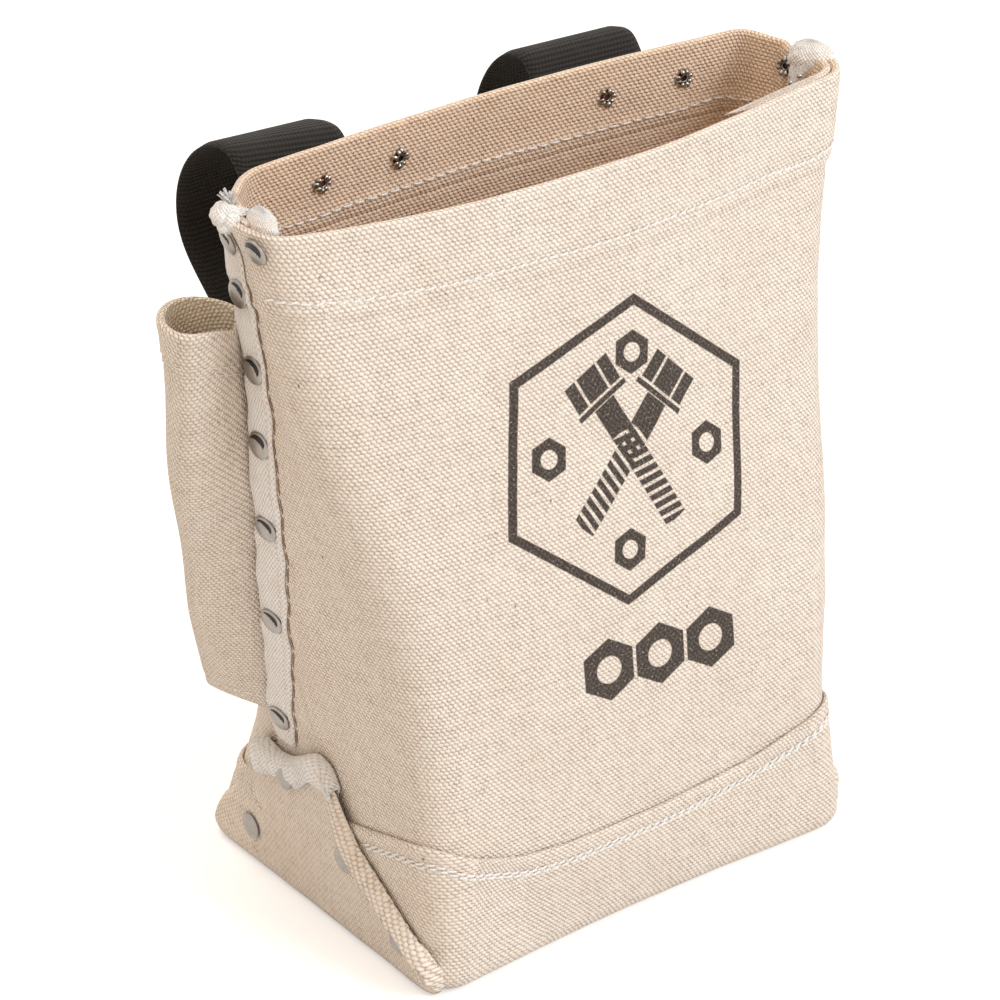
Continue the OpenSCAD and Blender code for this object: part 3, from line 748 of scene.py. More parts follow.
def make_panel(low_seam, extra, count, tuck, look, name, node):
    """A panel from one seam to the next; tuck(s, z) says how deep its outer face lies."""
    def columns(z):
        low, high = past_seam(z, low_seam, -extra), past_seam(z, low_seam + 4, extra)
        k = np.linspace(0, 1, count // 2 + 1)[None, :]
        return np.concatenate([mix(low, low_seam + 2, k)[:, :-1], mix(low_seam + 2, high, k)], 1)

    def side(inner):
        foot = columns(np.full((len(TURN), 1), ARC_Z))
        turn = on_edge(foot, TURN[:, None], -tuck(foot, ARC_Z) - PLY_T * inner)
        z = WALL_ROWS[:, None]
        hem = PLY_T * smooth(FOLD_Z - 0.6, FOLD_Z + 0.8, z)
        s = columns(z)
        face = on_wall(s, z, -tuck(s, z) - (PLY_T + hem) * inner, inner)
        z = RIM_H - PLY_T + PLY_T * np.sin(RIM_TURN[:, None])
        depth = PLY_T - PLY_T * np.cos(RIM_TURN[:, None])
        s = columns(z)
        rim = on_wall(s, z, -tuck(s, z) - (2 * PLY_T - depth if inner else depth), inner)
        return np.concatenate([turn, face, rim])

    v = rows_of(ARC_Z - EDGE_R * np.radians(TURN), WALL_ROWS, RIM_H - PLY_T + PLY_T * RIM_TURN)
    v = v[:, None]
    z = np.clip(v, ARC_Z, RIM_H)
    s = columns(z)
    u = arc_lengths(wall(s, z), 1, int(np.argmin(np.abs(s[0] - low_seam - 2))))
    make_sheet(name, [look, duck_inside_painted_shade], node, "duck_canvas", side(False), side(True),
               pair(u, v), pair(u, 2 * RIM_H + 2 - v))


make_panel(0, SEAM_LAP, 264, no_tuck, duck_printed, "front_canvas", "front_panel")
make_panel(4, SEAM_LAP + 1.5, 250, back_tuck, duck, "back_canvas", "back_panel")


# ---- bottom ----
RING_S = np.arange(0, 8, 1 / 72)
BOOT_FLOOR = [0.004, 0.25, 0.5, 0.75, 0.93]
BOOT_TURN = np.array([90, 75, 60, 45, 30, 15.0])
BOOT_ROWS = np.concatenate([np.linspace(0, 0.8, 16), np.linspace(0.83, 1, 10)])
INNER_FLOOR = [0.01, 0.2, 0.4, 0.6, 0.8, 0.9, 0.955]


def floor_ring(plan, k, z):
    return np.column_stack([plan * k, np.zeros(len(plan)) + z])


def boot_face(inner):
    d = PLY_GAP if inner else PLY
    bottom = PLY_T if inner else 0.0
    rim = on_edge(RING_S, 90.0, 0)[:, :2]
    floor = np.stack([floor_ring(rim, k, bottom) for k in BOOT_FLOOR])
    turn = on_edge(RING_S, BOOT_TURN[:, None], d)
    turn[..., 2] = np.maximum(turn[..., 2], bottom)
    top = boot_top(RING_S)
    z = mix(ARC_Z, top, BOOT_ROWS[:, None])
    below = top - z                                # distance under the upper edge
    if inner:
        off = d + 0.25 * PLY_T * (1 - smooth(0, 0.7, below))
    else:
        off = d + 0.35 * bump(below, 2.6, 2.4) - 0.30 * bump(below, 6.2, 1.3)
        off = off + 0.15 * bump(below, 9.5, 2) - 0.45 * PLY_T * (1 - smooth(0, 0.9, below))
    return np.concatenate([floor, turn, on_wall(RING_S, z, off)])


def make_boot():
    outer, inner = boot_face(False), boot_face(True)
    u = arc_lengths(wall(RING_S, ARC_Z + 14), 0)
    uv = pair(u, arc_lengths(outer, 0, len(BOOT_FLOOR) + len(BOOT_TURN)) + 400)
    under = len(BOOT_FLOOR) + 1
    uv[:under] = outer[:under, :, :2] + 900        # the underside runs on straight yarns
    make_sheet("bottom_boot_canvas", [duck], "bottom_boot", "duck_canvas", outer, inner, uv,
               ring=True)


def make_inner_bottom():
    ring = on_edge(RING_S[::2], 90.0, -PLY)[:, :2]
    top, low = [], []
    for k in INNER_FLOOR:
        sag = 0.3 * (0.5 * ripple(floor_ring(ring, k, 0), 40) - 0.2)
        top.append(floor_ring(ring, k, PLY + PLY_T + 0.25 + sag))
        low.append(floor_ring(ring, k, PLY + 0.05 + sag))
    top, low = np.array(top), np.array(low)
    make_sheet("inner_bottom_canvas", [duck_inside_painted_shade], "inner_bottom", "duck_canvas", top, low,
               top[..., :2] + 300, low[..., :2] + 300, ring=True)


make_boot()
make_inner_bottom()

# ---- ears ----
EAR_TURN = np.array([38, 26, 13.0])
EAR_ROWS = np.concatenate([np.linspace(0, 0.6, 30), np.linspace(0.62, 0.93, 26),
                           np.linspace(0.94, 1, 11)])
EAR_COLS = np.linspace(-1.0, 1.0, 171)


def ear_crest(seam, s):
    """The ear's upper edge as the cloth really lies: fuller at the front of the tip, and lower
    where its ends run out."""
    y = wall(seam + s, ARC_Z)[..., 1]
    fuller = 5.5 * bump(y, -11, 11) - 2.6 * bump(y, 12, 13)
    return ear_top(seam + s) + fuller - 5 * smooth(0.84, 1.0, np.abs(s))


def ear_edge_distance(seam, s, z):
    """How far a point of an ear lies inside its sloping upper edge."""
    run = length(wall(seam + s + 0.02, ARC_Z) - wall(seam + s - 0.02, ARC_Z))
    slope = (ear_crest(seam, s + 0.02) - ear_crest(seam, s - 0.02)) / np.maximum(run, 0.2)
    return (ear_crest(seam, s) - z) / np.sqrt(1 + np.minimum(slope**2, 6))


def ear_face(seam, way, inner, roll):
    cols = EAR_COLS[None, :] * EAR_REACH[seam]
    top = ear_crest(seam, cols)
    ends = smooth(1.0, 0.88, np.abs(cols) / EAR_REACH[seam])
    sunk = PLY - (0.9 if inner else 0.15)
    turn = on_edge(seam + cols, EAR_TURN[:, None],
                   mix(sunk, EAR_IN if inner else EAR_OUT - 0.4, ends))
    z = mix(ARC_Z, top, EAR_ROWS[:, None])
    cols, z = floats(cols, z)
    edge = ear_edge_distance(seam, cols, z)
    forward = way * cols                           # positive towards the front
    if inner:
        off = EAR_IN + 0.45 * EAR_T * (1 - smooth(0, 1.8, edge))
    else:
        rolled = roll * smooth(0.36, 0.47, forward) * smooth(2, 12, top - ARC_Z)
        fold = EAR_ROLL * np.clip(edge / EAR_ROLL_W, 0, 1) ** 0.9 * smooth(7.0, 4.8, edge)
        off = EAR_OUT - 0.5 + rolled * (fold - 0.5 * bump(edge, 8.0, 1.8))
        off = off - 0.55 * EAR_T * (1 - np.sqrt(np.clip(edge / 2.2, 0, 1)))
        # a short slit where the cloth of the tip is folded under itself
        line = 31 - 35 * (forward + 0.40)
        part = smooth(-0.43, -0.39, forward) * smooth(-0.25, -0.29, forward)
        off = off + part * (0.7 * bump(z, line + 1.6, 1.4) - 1.5 * bump(z, line, 0.8))
    return np.concatenate([turn, on_wall(seam + cols, z, mix(sunk, off, ends))])


def make_ear(seam, way, side_name, roll):
    outer, inner = (ear_face(seam, way, face, roll) for face in (False, True))
    flat = on_wall(seam + EAR_COLS * EAR_REACH[seam], EAR_H * 0.4, 0)
    u = arc_lengths(flat, 0, len(EAR_COLS) // 2)
    # the flap is folded up from the bottom, so its yarns run square to its sloping front edge
    uv = pair(*turned(u, outer[..., 2], math.radians(4 * way))) + 500
    name = side_name + "_ear"
    make_sheet(name + "_canvas", [duck], name, "duck_canvas", outer, inner, uv)


for seam, roll in zip(SEAMS, (1.0, 0.2)):
    make_ear(*seam, roll)

# ---- bindings over the tips of the ears ----
BINDING_TURN = np.radians([18, 38, 58, 78, 98, 118, 138, 160])
EAR_STEP = 0.085


def make_binding(seam, way, side_name):
    first = -3 if seam == 0 else -4
    cols = np.linspace(first * EAR_STEP - 0.03, (first + 8) * EAR_STEP, 110)
    ends = np.sqrt(np.clip(np.minimum(cols - cols[0], cols[-1] - cols) / 0.05, 0, 1))
    top = ear_crest(seam, cols) + 0.6 - 0.8 * (1 - ends)
    ripples = 0.6 * np.sin(cols * 27 + 1) + 0.3 * np.sin(cols * 61)
    notch = 5.5 * bump(way * cols, 0.04, 0.17)
    slim = (0.35 + 0.65 * ends) * (1 - 0.4 * smooth(0.24, 0.42, way * cols))
    low = top - 1 - (BINDING_W + 0.4 + 0.5 * ripples - notch) * slim
    puff = 0.45 * np.sin(cols * 44 + 0.6) + 0.35 * np.sin(cols * 83 + 2)
    middle = (EAR_IN + EAR_OUT) / 2
    r, r_in = EAR_T / 2 + TAPE_OUT + 0.3, EAR_T / 2 + PLY_GAP
    rows = []                                      # height and offset, outside and then inside
    for k in np.linspace(0, 1, 14):
        z = mix(low, top, k)
        full = (1.5 + 0.6 * puff) * math.sin(math.pi * min(1, k * 0.7 + 0.08)) ** 0.6
        swell = full * ends - 0.9 * (1 - ends)
        rows.append((z, EAR_OUT + TAPE_OUT + swell, z, EAR_OUT + PLY_GAP - 0.05))
    for a in BINDING_TURN:
        s, c = math.sin(a), math.cos(a)
        rows.append((top + (r * 0.9 * s + 0.2 * puff) * (0.4 + 0.6 * ends),
                     middle + (r + 1.1 * max(0, c) * ends) * c,
                     top + r_in * 0.7 * s, middle + r_in * c))
    for k, thin in ((0.1, 3), (0.4, 2), (0.7, 1), (1.0, 0)):
        z = mix(top, top - BINDING_W + 3, k)
        rows.append((z, EAR_IN - 0.1, z, EAR_IN - 0.02 + 0.3 * TAPE_T * thin / 25))
    outer, inner = (np.array([on_wall(seam + cols, row[i], row[i + 1]) for row in rows])
                    for i in (0, 2))
    uv = pair(arc_lengths(outer, 1), arc_lengths(outer, 0))
    name = side_name + "_ear_binding"
    make_sheet(name + "_tape", [binding_look], name, "white_tape", outer, inner, uv)


for seam in SEAMS:
    make_binding(*seam)


# ---- tape down the seams ----
def tape_slim(z, ahead):
    """The tape's share of its width: its front side is gathered in under the rim."""
    return 1 - 0.42 * smooth(226, 248, z) * (ahead > 0)


def make_tape(seam, way, side_name):
    x, half = np.linspace(-1, 1, 17), TAPE_W / 2
    z = np.arange(TAPE_FOOT, RIM_H - 2, 1.1)[:, None]
    pinch = bump(np.abs(z - SEAM_RIVET_Z).min(1, keepdims=True), 0, 5.0)
    gather = 0.18 * np.sin(z * 2 * math.pi / 2.1 + 2 * x) * pinch
    waves = ripple(np.stack([0 * z, 0 * z, z], -1), 9)
    puff = 0.4 * (1 - pinch) * (1 - x**2) + 0.12 * waves
    fold = 0.3 * bump(way * x, 0.82, 0.14) - 0.25 * bump(way * x, 0.6, 0.08)
    edge = 0.75 * TAPE_T * (1 - np.sqrt(np.clip((1 - np.abs(x)) / 0.12, 0, 1)))
    lumps = 1.5 + 0.9 * np.sin(z * 1.1 + 3 * x) + 0.6 * np.sin(5 * x + z * 0.6)
    lumps = 0.4 * lumps * smooth(RIM_H - 16, RIM_H - 3, z) * np.sqrt(1 - (0.9 * x) ** 2)
    waver = (0.15 * np.sin(z / 7.3) + 0.1 * np.sin(z / 3.1 + 1)) * (way * x < 0) * np.abs(x)
    s = past_seam(z, seam, x * half * (1 - 0.04 * pinch) * tape_slim(z, way * x) + waver + 0.01)
    outer = [*on_wall(s, z, TAPE_OUT + gather + puff + fold - edge + lumps)]
    inner = [*on_wall(s, z, PLY_GAP)]
    # over the rim, where the cut end is gathered into a soft lump
    width = half * tape_slim(RIM_H, way * x)
    mid = RIM_IN / 2
    for a in np.radians(np.arange(6, 181, 12)):
        sway = 1 + 0.20 * np.sin(x * 5 + a * 3) + 0.12 * np.sin(x * 9 - a * 5)
        side = past_seam(RIM_H - 1, seam, x * width * (1 - 0.06 * math.sin(a)) + 0.01)
        lift = 1.8 * math.sin(a) ** 0.8 * sway * np.sqrt(1 - (0.88 * x) ** 2)
        high = on_wall(side, RIM_H - 1.0, mid + (TAPE_OUT - mid + 0.9) * math.cos(a))
        high[:, 2] = RIM_H - 0.7 + lift
        low = on_wall(side, RIM_H - 1.0, mid + (TAPE_OUT - mid - TAPE_T) * math.cos(a))
        low[:, 2] = RIM_H + 0.15 * math.sin(a)
        outer.append(high)
        inner.append(low)
    # and down inside
    for k in np.linspace(0.08, 1, 12):
        z = RIM_H - TAPE_TURN * k
        side = past_seam(z, seam, x * width + 0.01)
        full = 0.9 + 0.9 * math.sin(math.pi * min(1, k * 1.05)) * (1 + 0.3 * np.sin(x * 6 + k * 8))
        full = 0.9 * full * np.sqrt(1 - (0.92 * x) ** 2)
        outer.append(on_wall(side, z, RIM_IN - TAPE_OUT - full, True))
        inner.append(on_wall(side, z, RIM_IN - 0.1, True))
    outer = np.array(outer)
    name = side_name + "_seam_tape"
    make_sheet(name + "_twill", [tape_look], name, "white_tape", outer, np.array(inner),
               pair(x * half, arc_lengths(outer, 0)))


for seam in SEAMS:
    make_tape(*seam)


def add_knot(name, centre, radii, turn, lobes, depth):
    """A soft lump of gathered tape: an ellipsoid, turned about the upright, with rounded lobes."""
    rows, cols = 44, 72
    a, b = np.meshgrid(np.linspace(0.04, math.pi - 0.04, rows),
                       np.linspace(0, 2 * math.pi, cols, endpoint=False), indexing="ij")
    ball = np.stack([np.sin(a) * np.cos(b), np.sin(a) * np.sin(b), np.cos(a)], -1)
    away = unit(rng.normal(size=(lobes, 3)))
    near = (ball @ away.T).max(-1)
    swell = 1.06 - depth * (1 - smooth(0.68, 1.0, near)) + 0.03 * ripple(ball * 9, 2.2)
    p = ball * swell[..., None] * np.array(radii)
    p = np.stack([*turned(p[..., 0], p[..., 1], turn), p[..., 2]], -1) + centre
    piece = Piece()
    piece.tube(p, pair(b * radii[1], a * radii[2]), flip=True)
    piece.make(name, [knot_look])


def add_tuft(name, root, lean, strands):
    """The frayed end of a tape: a brush of short threads that fan out from one spot."""
    piece = Piece()
    ring = np.linspace(0, 2 * math.pi, 6, endpoint=False)
    t = np.linspace(0, 1, 7)[:, None]
    for _ in range(strands):
        way = np.array(lean) + rng.normal(size=3) * 0.26
        curl = rng.normal(size=3) * 0.7
        path = np.array(root) + rng.normal(size=3) * 0.5 + way * t * rng.uniform(2.2, 3.4)
        path = path + curl * t**2
        side = unit(np.cross(way, [0.3, 0.2, 1.0]))
        up = np.cross(side, unit(way))
        across = side * np.cos(ring)[None, :, None] + up * np.sin(ring)[None, :, None]
        tube = path[:, None, :] + (0.52 * (1 - 0.5 * t))[:, None] * across
        piece.tube(tube, pair(ring, t * 4), flip=True)
    piece.make(name, [knot_look])


KNOTS = (                                   # centre, radii, turn, lobes, depth between them
    ("left_outer_tape_knot", (-118.6, -10.4, 254.3), (3.9, 4.4, 4.7), 0.2, 15, 0.34),
    ("left_inner_tape_knot", (-110.4, -17.2, 252.0), (4.0, 8.4, 5.2), -0.25, 3, 0.10),
    ("right_tape_knot", (102.7, -12.4, 251.4), (6.0, 8.8, 6.9), 0.3, 4, 0.12))
for knot in KNOTS:
    add_knot(*knot)
add_tuft("left_tape_tuft", root=(-110.3, -0.9, 253.4), lean=(-0.25, 0.1, 1.0), strands=40)

# ---- pin sleeve ----
SLEEVE_COLS = 132
SLEEVE_RINGS = np.concatenate([np.linspace(0, 0.86, 84), np.linspace(0.87, 1, 30)])
RING_ANGLES = np.linspace(0, 2 * math.pi, SLEEVE_COLS, endpoint=False)


def sleeve_ring(k, inset, swell=0.0, lift=0.0):
    z = mix(SLEEVE_BOTTOM, SLEEVE_TOP, k)
    place = past_seam(z, 8, -TAPE_W / 2 - mix(3, 6.2, k))
    root = wall(place, z) + outward(place, z) * PLY_GAP
    way = math.radians(mix(105, 176, k))
    reach = mix(13.5, SLEEVE_W / 2, k)
    half = mix(PLY_T + 0.05, SLEEVE_D / 2, math.sqrt(k))
    out = np.array([math.cos(way), math.sin(way)])
    side = np.array([-out[1], out[0]])
    c, s = np.cos(RING_ANGLES), np.sin(RING_ANGLES)
    plan = root + out * (reach - (reach - inset + swell) * c)[:, None]
    plan = plan - side * ((half - inset + swell) * s * (1 - 0.4 * c))[:, None]
    return np.column_stack([plan, np.full(SLEEVE_COLS, z + lift)])


def make_sleeve():
    outer, inner = [], []
    row_a, row_b = SLEEVE_ROWS_DOWN
    for k in SLEEVE_RINGS:
        z = mix(SLEEVE_BOTTOM, SLEEVE_TOP, k)
        below = SLEEVE_TOP - z
        p = np.column_stack([np.cos(RING_ANGLES) * 12, np.sin(RING_ANGLES) * 12,
                             np.full(SLEEVE_COLS, z)])
        sag = 0.56 * ripple(p, 34) * min(1, k * 4) * (0.35 + 0.65 * min(1, below / 30))
        rows = 0.38 * bump(below, row_a, 1.2) + 0.3 * bump(below, row_b, 1.2)
        hem = 0.35 * smooth(14, 11, below) - rows
        lip = 0.25 * bump(below, 1.6, 1.6)
        foot = -0.3 * bump(z - SLEEVE_BOTTOM, 5, 1.2)
        outer.append(sleeve_ring(k, 0.0, sag + hem + lip + foot))
        inner.append(sleeve_ring(k, PLY_T * (1 + 0.55 * smooth(13, 11, below)), sag))
    # round the mouth over
    thick = PLY_T * 1.7
    for t in np.radians([25, 50, 75]):
        lift, inset = thick / 2 * math.sin(t), thick / 2 * (1 - math.cos(t))
        outer.append(sleeve_ring(1.0, inset, 0.25 * (1 - t / 1.6), lift))
        inner.append(sleeve_ring(1.0, thick - inset, 0.0, lift))
    outer, inner = np.array(outer), np.array(inner)
    # the mouth is lower at the front and dips between its corners
    a = RING_ANGLES
    tilt = smooth(0.5, 1.0, (outer[..., 2] - SLEEVE_BOTTOM) / (SLEEVE_TOP - SLEEVE_BOTTOM))
    dip = tilt * (1.4 * np.sin(a) - 0.8 * np.cos(2 * a) - 4.2 * bump(a, 5.6, 0.8))
    outer[..., 2] += dip
    inner[..., 2] += dip
    uv = pair(arc_lengths(outer[len(outer) // 2], 0), arc_lengths(outer, 0)) + 700
    make_sheet("bull_pin_sleeve_canvas", [duck, duck_sleeve_painted_light], "bull_pin_sleeve", "duck_canvas",
               outer, inner, uv, ring=True)
    return outer


sleeve_skin = make_sleeve()


# ---- belt loops ----
def back_s(x, z):
    """The position s of the back panel at a given x."""
    x, z = floats(x, z)
    low, high = np.full(x.shape, 5.0), np.full(x.shape, 7.0)
    for _ in range(18):
        middle = (low + high) / 2
        right = wall(middle, z)[..., 0] > x
        low, high = np.where(right, middle, low), np.where(right, high, middle)
    return (low + high) / 2


def on_back(x, z):
    return np.append(wall(back_s(x, z), z), z)


def loop_axes(x):
    """Where a loop is sewn on: its upper point, and the ways across, out and up, and its drop."""
    high, low = on_back(x, RIM_H - LOOP_DROP), on_back(x, LOOP_LOW)
    up = unit(high - low)
    along = on_back(x + WEB_W / 2, high[2]) - on_back(x - WEB_W / 2, high[2])
    across = unit(along - up * (along @ up))
    return high, across, np.cross(up, across), up, length(high - low)


def loop_seat(x, high, out):
    """How far out the loop's flat ends lie, clear of the back panel."""
    spots = [on_back(x + dx * WEB_W, z + dz) for z in (RIM_H - LOOP_DROP, LOOP_LOW)
             for dz in (-TAB, 0, 5) for dx in (-0.5, -0.25, 0, 0.25, 0.5)]
    return max((spot - high) @ out for spot in spots) + PLY_GAP


def bezier(a, b, c, d, n):
    k = (np.arange(1, n + 1) / n)[:, None]
    return (1 - k) ** 3 * a + 3 * (1 - k) ** 2 * k * b + 3 * (1 - k) * k * k * c + k**3 * d


def loop_path(seat, drop, crest):
    r, v = LOOP_REACH, np.array
    a, dip, top = v([seat, 4]), v([r * 0.38, crest - 8]), v([r * 0.62, crest])
    back, heel, end = v([r, -0.36 * drop]), v([r * 0.72, -0.67 * drop]), v([seat, 14 - drop])
    return np.concatenate([
        np.linspace([seat, -TAB], a, 8),
        bezier(a, a + [0, 5], dip - [r * 0.15, 0], dip, 20),
        bezier(dip, dip + [r * 0.11, 0], top - [r * 0.1, 0], top, 20),
        bezier(top, top + [r * 0.2, 0], back + [0, drop * 0.16], back, 26),
        bezier(back, back - [0, drop * 0.15], heel + [9, 8], heel, 18),
        bezier(heel, heel - [15, 13], end + [0, 11], end, 20),
        np.linspace(end, [seat, -drop - TAB], 12)[1:]])


def make_loop(x, crest, tilt, side_name):
    high, across, out, up, drop = loop_axes(x)
    seat = loop_seat(x, high, out) + WEB_T / 2
    section = np.linspace(-0.5, 0.5, 15)           # a flat band with rounded edges
    faces = []
    for face in (1, -1):
        cols = []
        for k in section:
            path = loop_path(seat, drop, crest + k * tilt)
            step = np.gradient(path, axis=0)
            normal = unit(np.stack([step[:, 1], -step[:, 0]], -1))
            edge = math.sqrt(max(0, 1 - max(0, (abs(k) - 0.47) / 0.03) ** 2)) * 0.75 + 0.25
            along = np.linspace(0, 1, len(path))
            wave = 0.35 * np.sin(along * 9 + x) * np.sin(math.pi * along) * (1 + k)
            p = path + normal * (face * WEB_T / 2 * edge + wave)[:, None]
            cols.append(high + out * p[:, :1] + up * p[:, 1:] - across * (k * WEB_W))
        faces.append(np.stack(cols, 1))
    name = side_name + "_belt_loop"
    make_sheet(name + "_webbing", [web_look], name, "webbing", *faces,
               pair(section * WEB_W, arc_lengths(faces[0], 0)))


LOOPS = ((-LOOP_X + LOOP_SHIFT, -5, 4, "left"), (LOOP_X + LOOP_SHIFT, 0, 0, "right"))
for loop in LOOPS:
    make_loop(*loop)


# ---- rivets ----
def basis(normal, spin):
    n = unit(np.array(normal, float))
    a = unit(np.cross([0, 0, 1.0], n))
    b = np.cross(n, a)
    c, s = math.cos(spin), math.sin(spin)
    return np.stack([a * c + b * s, b * c - a * s, n])


def head_points(dent):
    """A low domed rivet head round the Z axis, and which of its points lie in the dent left
    by the setting tool, which gets a near-black look as painted shade."""
    share = np.concatenate([[0.02], np.linspace(0.08, 0.92, 22), [0.955, 0.985, 1.0, 1.0, 0.96]])
    share, a = np.meshgrid(share, np.linspace(0, 2 * math.pi, 72, endpoint=False), indexing="ij")
    z = 0.55 + (HEAD_H - 0.55) * (1 - share**2) - 0.1
    z[-4:] = np.array([0.40, 0.28, 0.05, -0.25])[:, None]
    x, y = share * np.cos(a), share * np.sin(a)
    # the dent is a crescent: inside one oval and outside another
    within = 1 - np.hypot(x / 0.84, (y - 0.28) / 0.62)
    beyond = np.hypot((x + 0.24) / 0.80, (y + 0.26) / 0.74) - 1
    inside = np.minimum(within, beyond) - (1 - dent)
    z = z - 0.25 * smooth(-0.05, 0.12, inside) * (share < 0.93)
    return np.stack([x * HEAD_D / 2, y * HEAD_D / 2, z], -1), (inside > 0) & (share < 0.9)


def add_heads(group, seats):
    piece = Piece()
    for place, normal in seats:
        local, dark = head_points(rng.uniform(0.85, 1.0) if "seam" in group else 0.02)
        dark = dark[:-1] & np.roll(dark[1:], -1, axis=1)
        piece.tube(local @ basis(normal, rng.uniform(-0.3, 0.3)) + place, flip=True, slot=dark)
    piece.make(group.replace("_rivets", "_rivet_heads"), [rivet_look, dent_painted_shade_look], [group])


def sweep(path, width, thick):
    """Rings of points, eight round the section, of a flat bar along a path."""
    step = unit(np.gradient(path, axis=0))
    side = unit(np.cross(step, [0, 0, 1.0]))
    up = np.cross(side, step)
    a = (2 * math.pi * np.arange(8) / 8)[None, :, None]
    across, high = (width / 2)[:, None, None], (thick / 2)[:, None, None]
    return path[:, None] + side[:, None] * np.cos(a) * across + up[:, None] * np.sin(a) * high


def add_clinches(group, seats):
    """Petals of split rivets, opened and curled back into the cloth round a burred core."""
    piece = Piece()
    ring = np.linspace(0, 2 * math.pi, 25)
    t = np.linspace(0, 1, 9)
    copper, dark = 1, 2                          # places of the looks given at the end
    for i, (place, normal) in enumerate(seats):
        axes = basis(normal, rng.uniform(0, 1))
        petals = int(rng.integers(7, 9))
        for k in range(petals):
            a = 2 * math.pi * (k + rng.uniform(-0.18, 0.18)) / petals
            r = mix(1.3, CLINCH_D / 2 * rng.uniform(0.9, 1.18), t)
            arch = np.sin(math.pi * np.clip(t * 0.85 + 0.12, 0, 1))
            h = 0.15 + rng.uniform(0.7, 1.2) * arch
            twist = a + rng.uniform(-0.25, 0.25) * t
            path = np.stack([r * np.cos(twist), r * np.sin(twist), h], -1)
            width = 1.55 * np.sqrt(1.02 - (2 * t - 1) ** 2 * 0.95) * rng.uniform(0.85, 1.15)
            piece.tube(sweep(path, width, 0.6 * width) @ axes + place)
        # the rolled edge of the tube, and the core inside it: on most rivets a dark disc that reaches
        # out under the petals and paints the shade between them, and on every other loop rivet a
        # copper one
        wobble = 0.08 * np.sin(ring * petals)
        r = 1.25 + wobble
        roll = np.stack([r * np.cos(ring), r * np.sin(ring), 0.42 + wobble], -1)
        piece.tube(sweep(roll, np.full(25, 0.5), np.full(25, 0.5)) @ axes + place)
        r, h = np.array([(0.02, 0.12), (0.9, 0.1), (2.3, 0.08), (2.8, -0.5)]).T[:, :, None]
        core = np.stack([r * np.cos(ring[:-1]), r * np.sin(ring[:-1]), h + 0 * ring[:-1]], -1)
        look = copper if i % 2 == 0 and "loop" in group else dark
        piece.tube(core @ axes + place, slot=look, cap_slot=look)
    piece.make(group.replace("_rivets", "_rivet_clinches"), [clinch_look, copper_look, dent_painted_shade_look])


heads, clinches = {}, {}
for s, z, outside, inside, group in RIVETS:
    beside = z == BESIDE_Z                     # it keeps close to the tape's own direction
    n = facing(s * 0.45 if beside and s < 2 else s, z)
    heads.setdefault(group, []).append((on_wall(s, z, outside + (0.3 if beside else 0.45)), n))
    clinches.setdefault(group, []).append((on_wall(s, z, inside - 0.1, True), -n))
for x, _, _, side_name in LOOPS:
    high, _, out, _, _ = loop_axes(x)
    seat = loop_seat(x, high, out) + WEB_T + 0.1
    for z, level, plies in ((RIM_H - LOOP_DROP, "upper", 2), (LOOP_LOW, "lower", 1)):
        group = f"{side_name}_loop_{level}_rivets"
        for across in (x - LOOP_PITCH / 2, x + LOOP_PITCH / 2):
            p = on_back(across, z)
            clinch = on_wall(back_s(across, z), z, -plies * PLY_T - 0.1, True)
            heads.setdefault(group, []).append((p + out * (seat - (p - high) @ out), out))
            clinches.setdefault(group, []).append((clinch, -out))
for group, seats in heads.items():
    add_heads(group, seats)
    add_clinches(group, clinches[group])


# ---- sewing ----
def add_stitches(name, rows, look, long=3.4, gap=0.9, thick=0.62, slant=0.0):
    """Rows of lock stitches. Each row is (points, normals) along the needle's line."""
    piece = Piece()
    ring = np.arange(6) / 6
    c, s = np.cos(2 * math.pi * ring)[:, None], np.sin(2 * math.pi * ring)[:, None]
    t = np.linspace(0, 1, 8)
    height = thick * (0.75 * np.sin(math.pi * t) ** 0.45 - 0.55)
    fat = (thick / 2 * (0.72 + 0.28 * np.sin(math.pi * t) ** 0.6))[:, None, None]
    for path, normals in rows:
        run = np.concatenate([[0], np.cumsum(length(np.diff(path, axis=0)))])
        at = rng.uniform(0, 2)
        while at + long < run[-1]:
            this = long * rng.uniform(0.9, 1.1)
            spots = at + this * t
            centre, normal = (np.stack([np.interp(spots, run, line[:, k]) for k in range(3)], -1)
                              for line in (path, normals))
            normal = unit(normal)
            side = np.cross(normal, unit(np.gradient(centre, axis=0)))
            lean = (slant + rng.uniform(-0.12, 0.12)) * (t - 0.5)
            centre = centre + normal * height[:, None] + side * lean[:, None]
            around = side[:, None] * c + normal[:, None] * s * 0.8
            piece.tube(centre[:, None] + around * fat, pair(spots[:, None], ring), flip=True)
            at += this + gap * rng.uniform(0.85, 1.2)
    piece.make(name, [look])


def wall_row(s, z, d, inner=False):
    s, z = floats(s, z)
    n = facing(s, z)
    return on_wall(s, z, d, inner), (-n if inner else n)


def along_hem(seam, start, end):
    """Positions along the hem from past one seam to before the next."""
    return np.linspace(past_seam(FOLD_Z, seam, start), past_seam(FOLD_Z, seam + 4, end), 900)


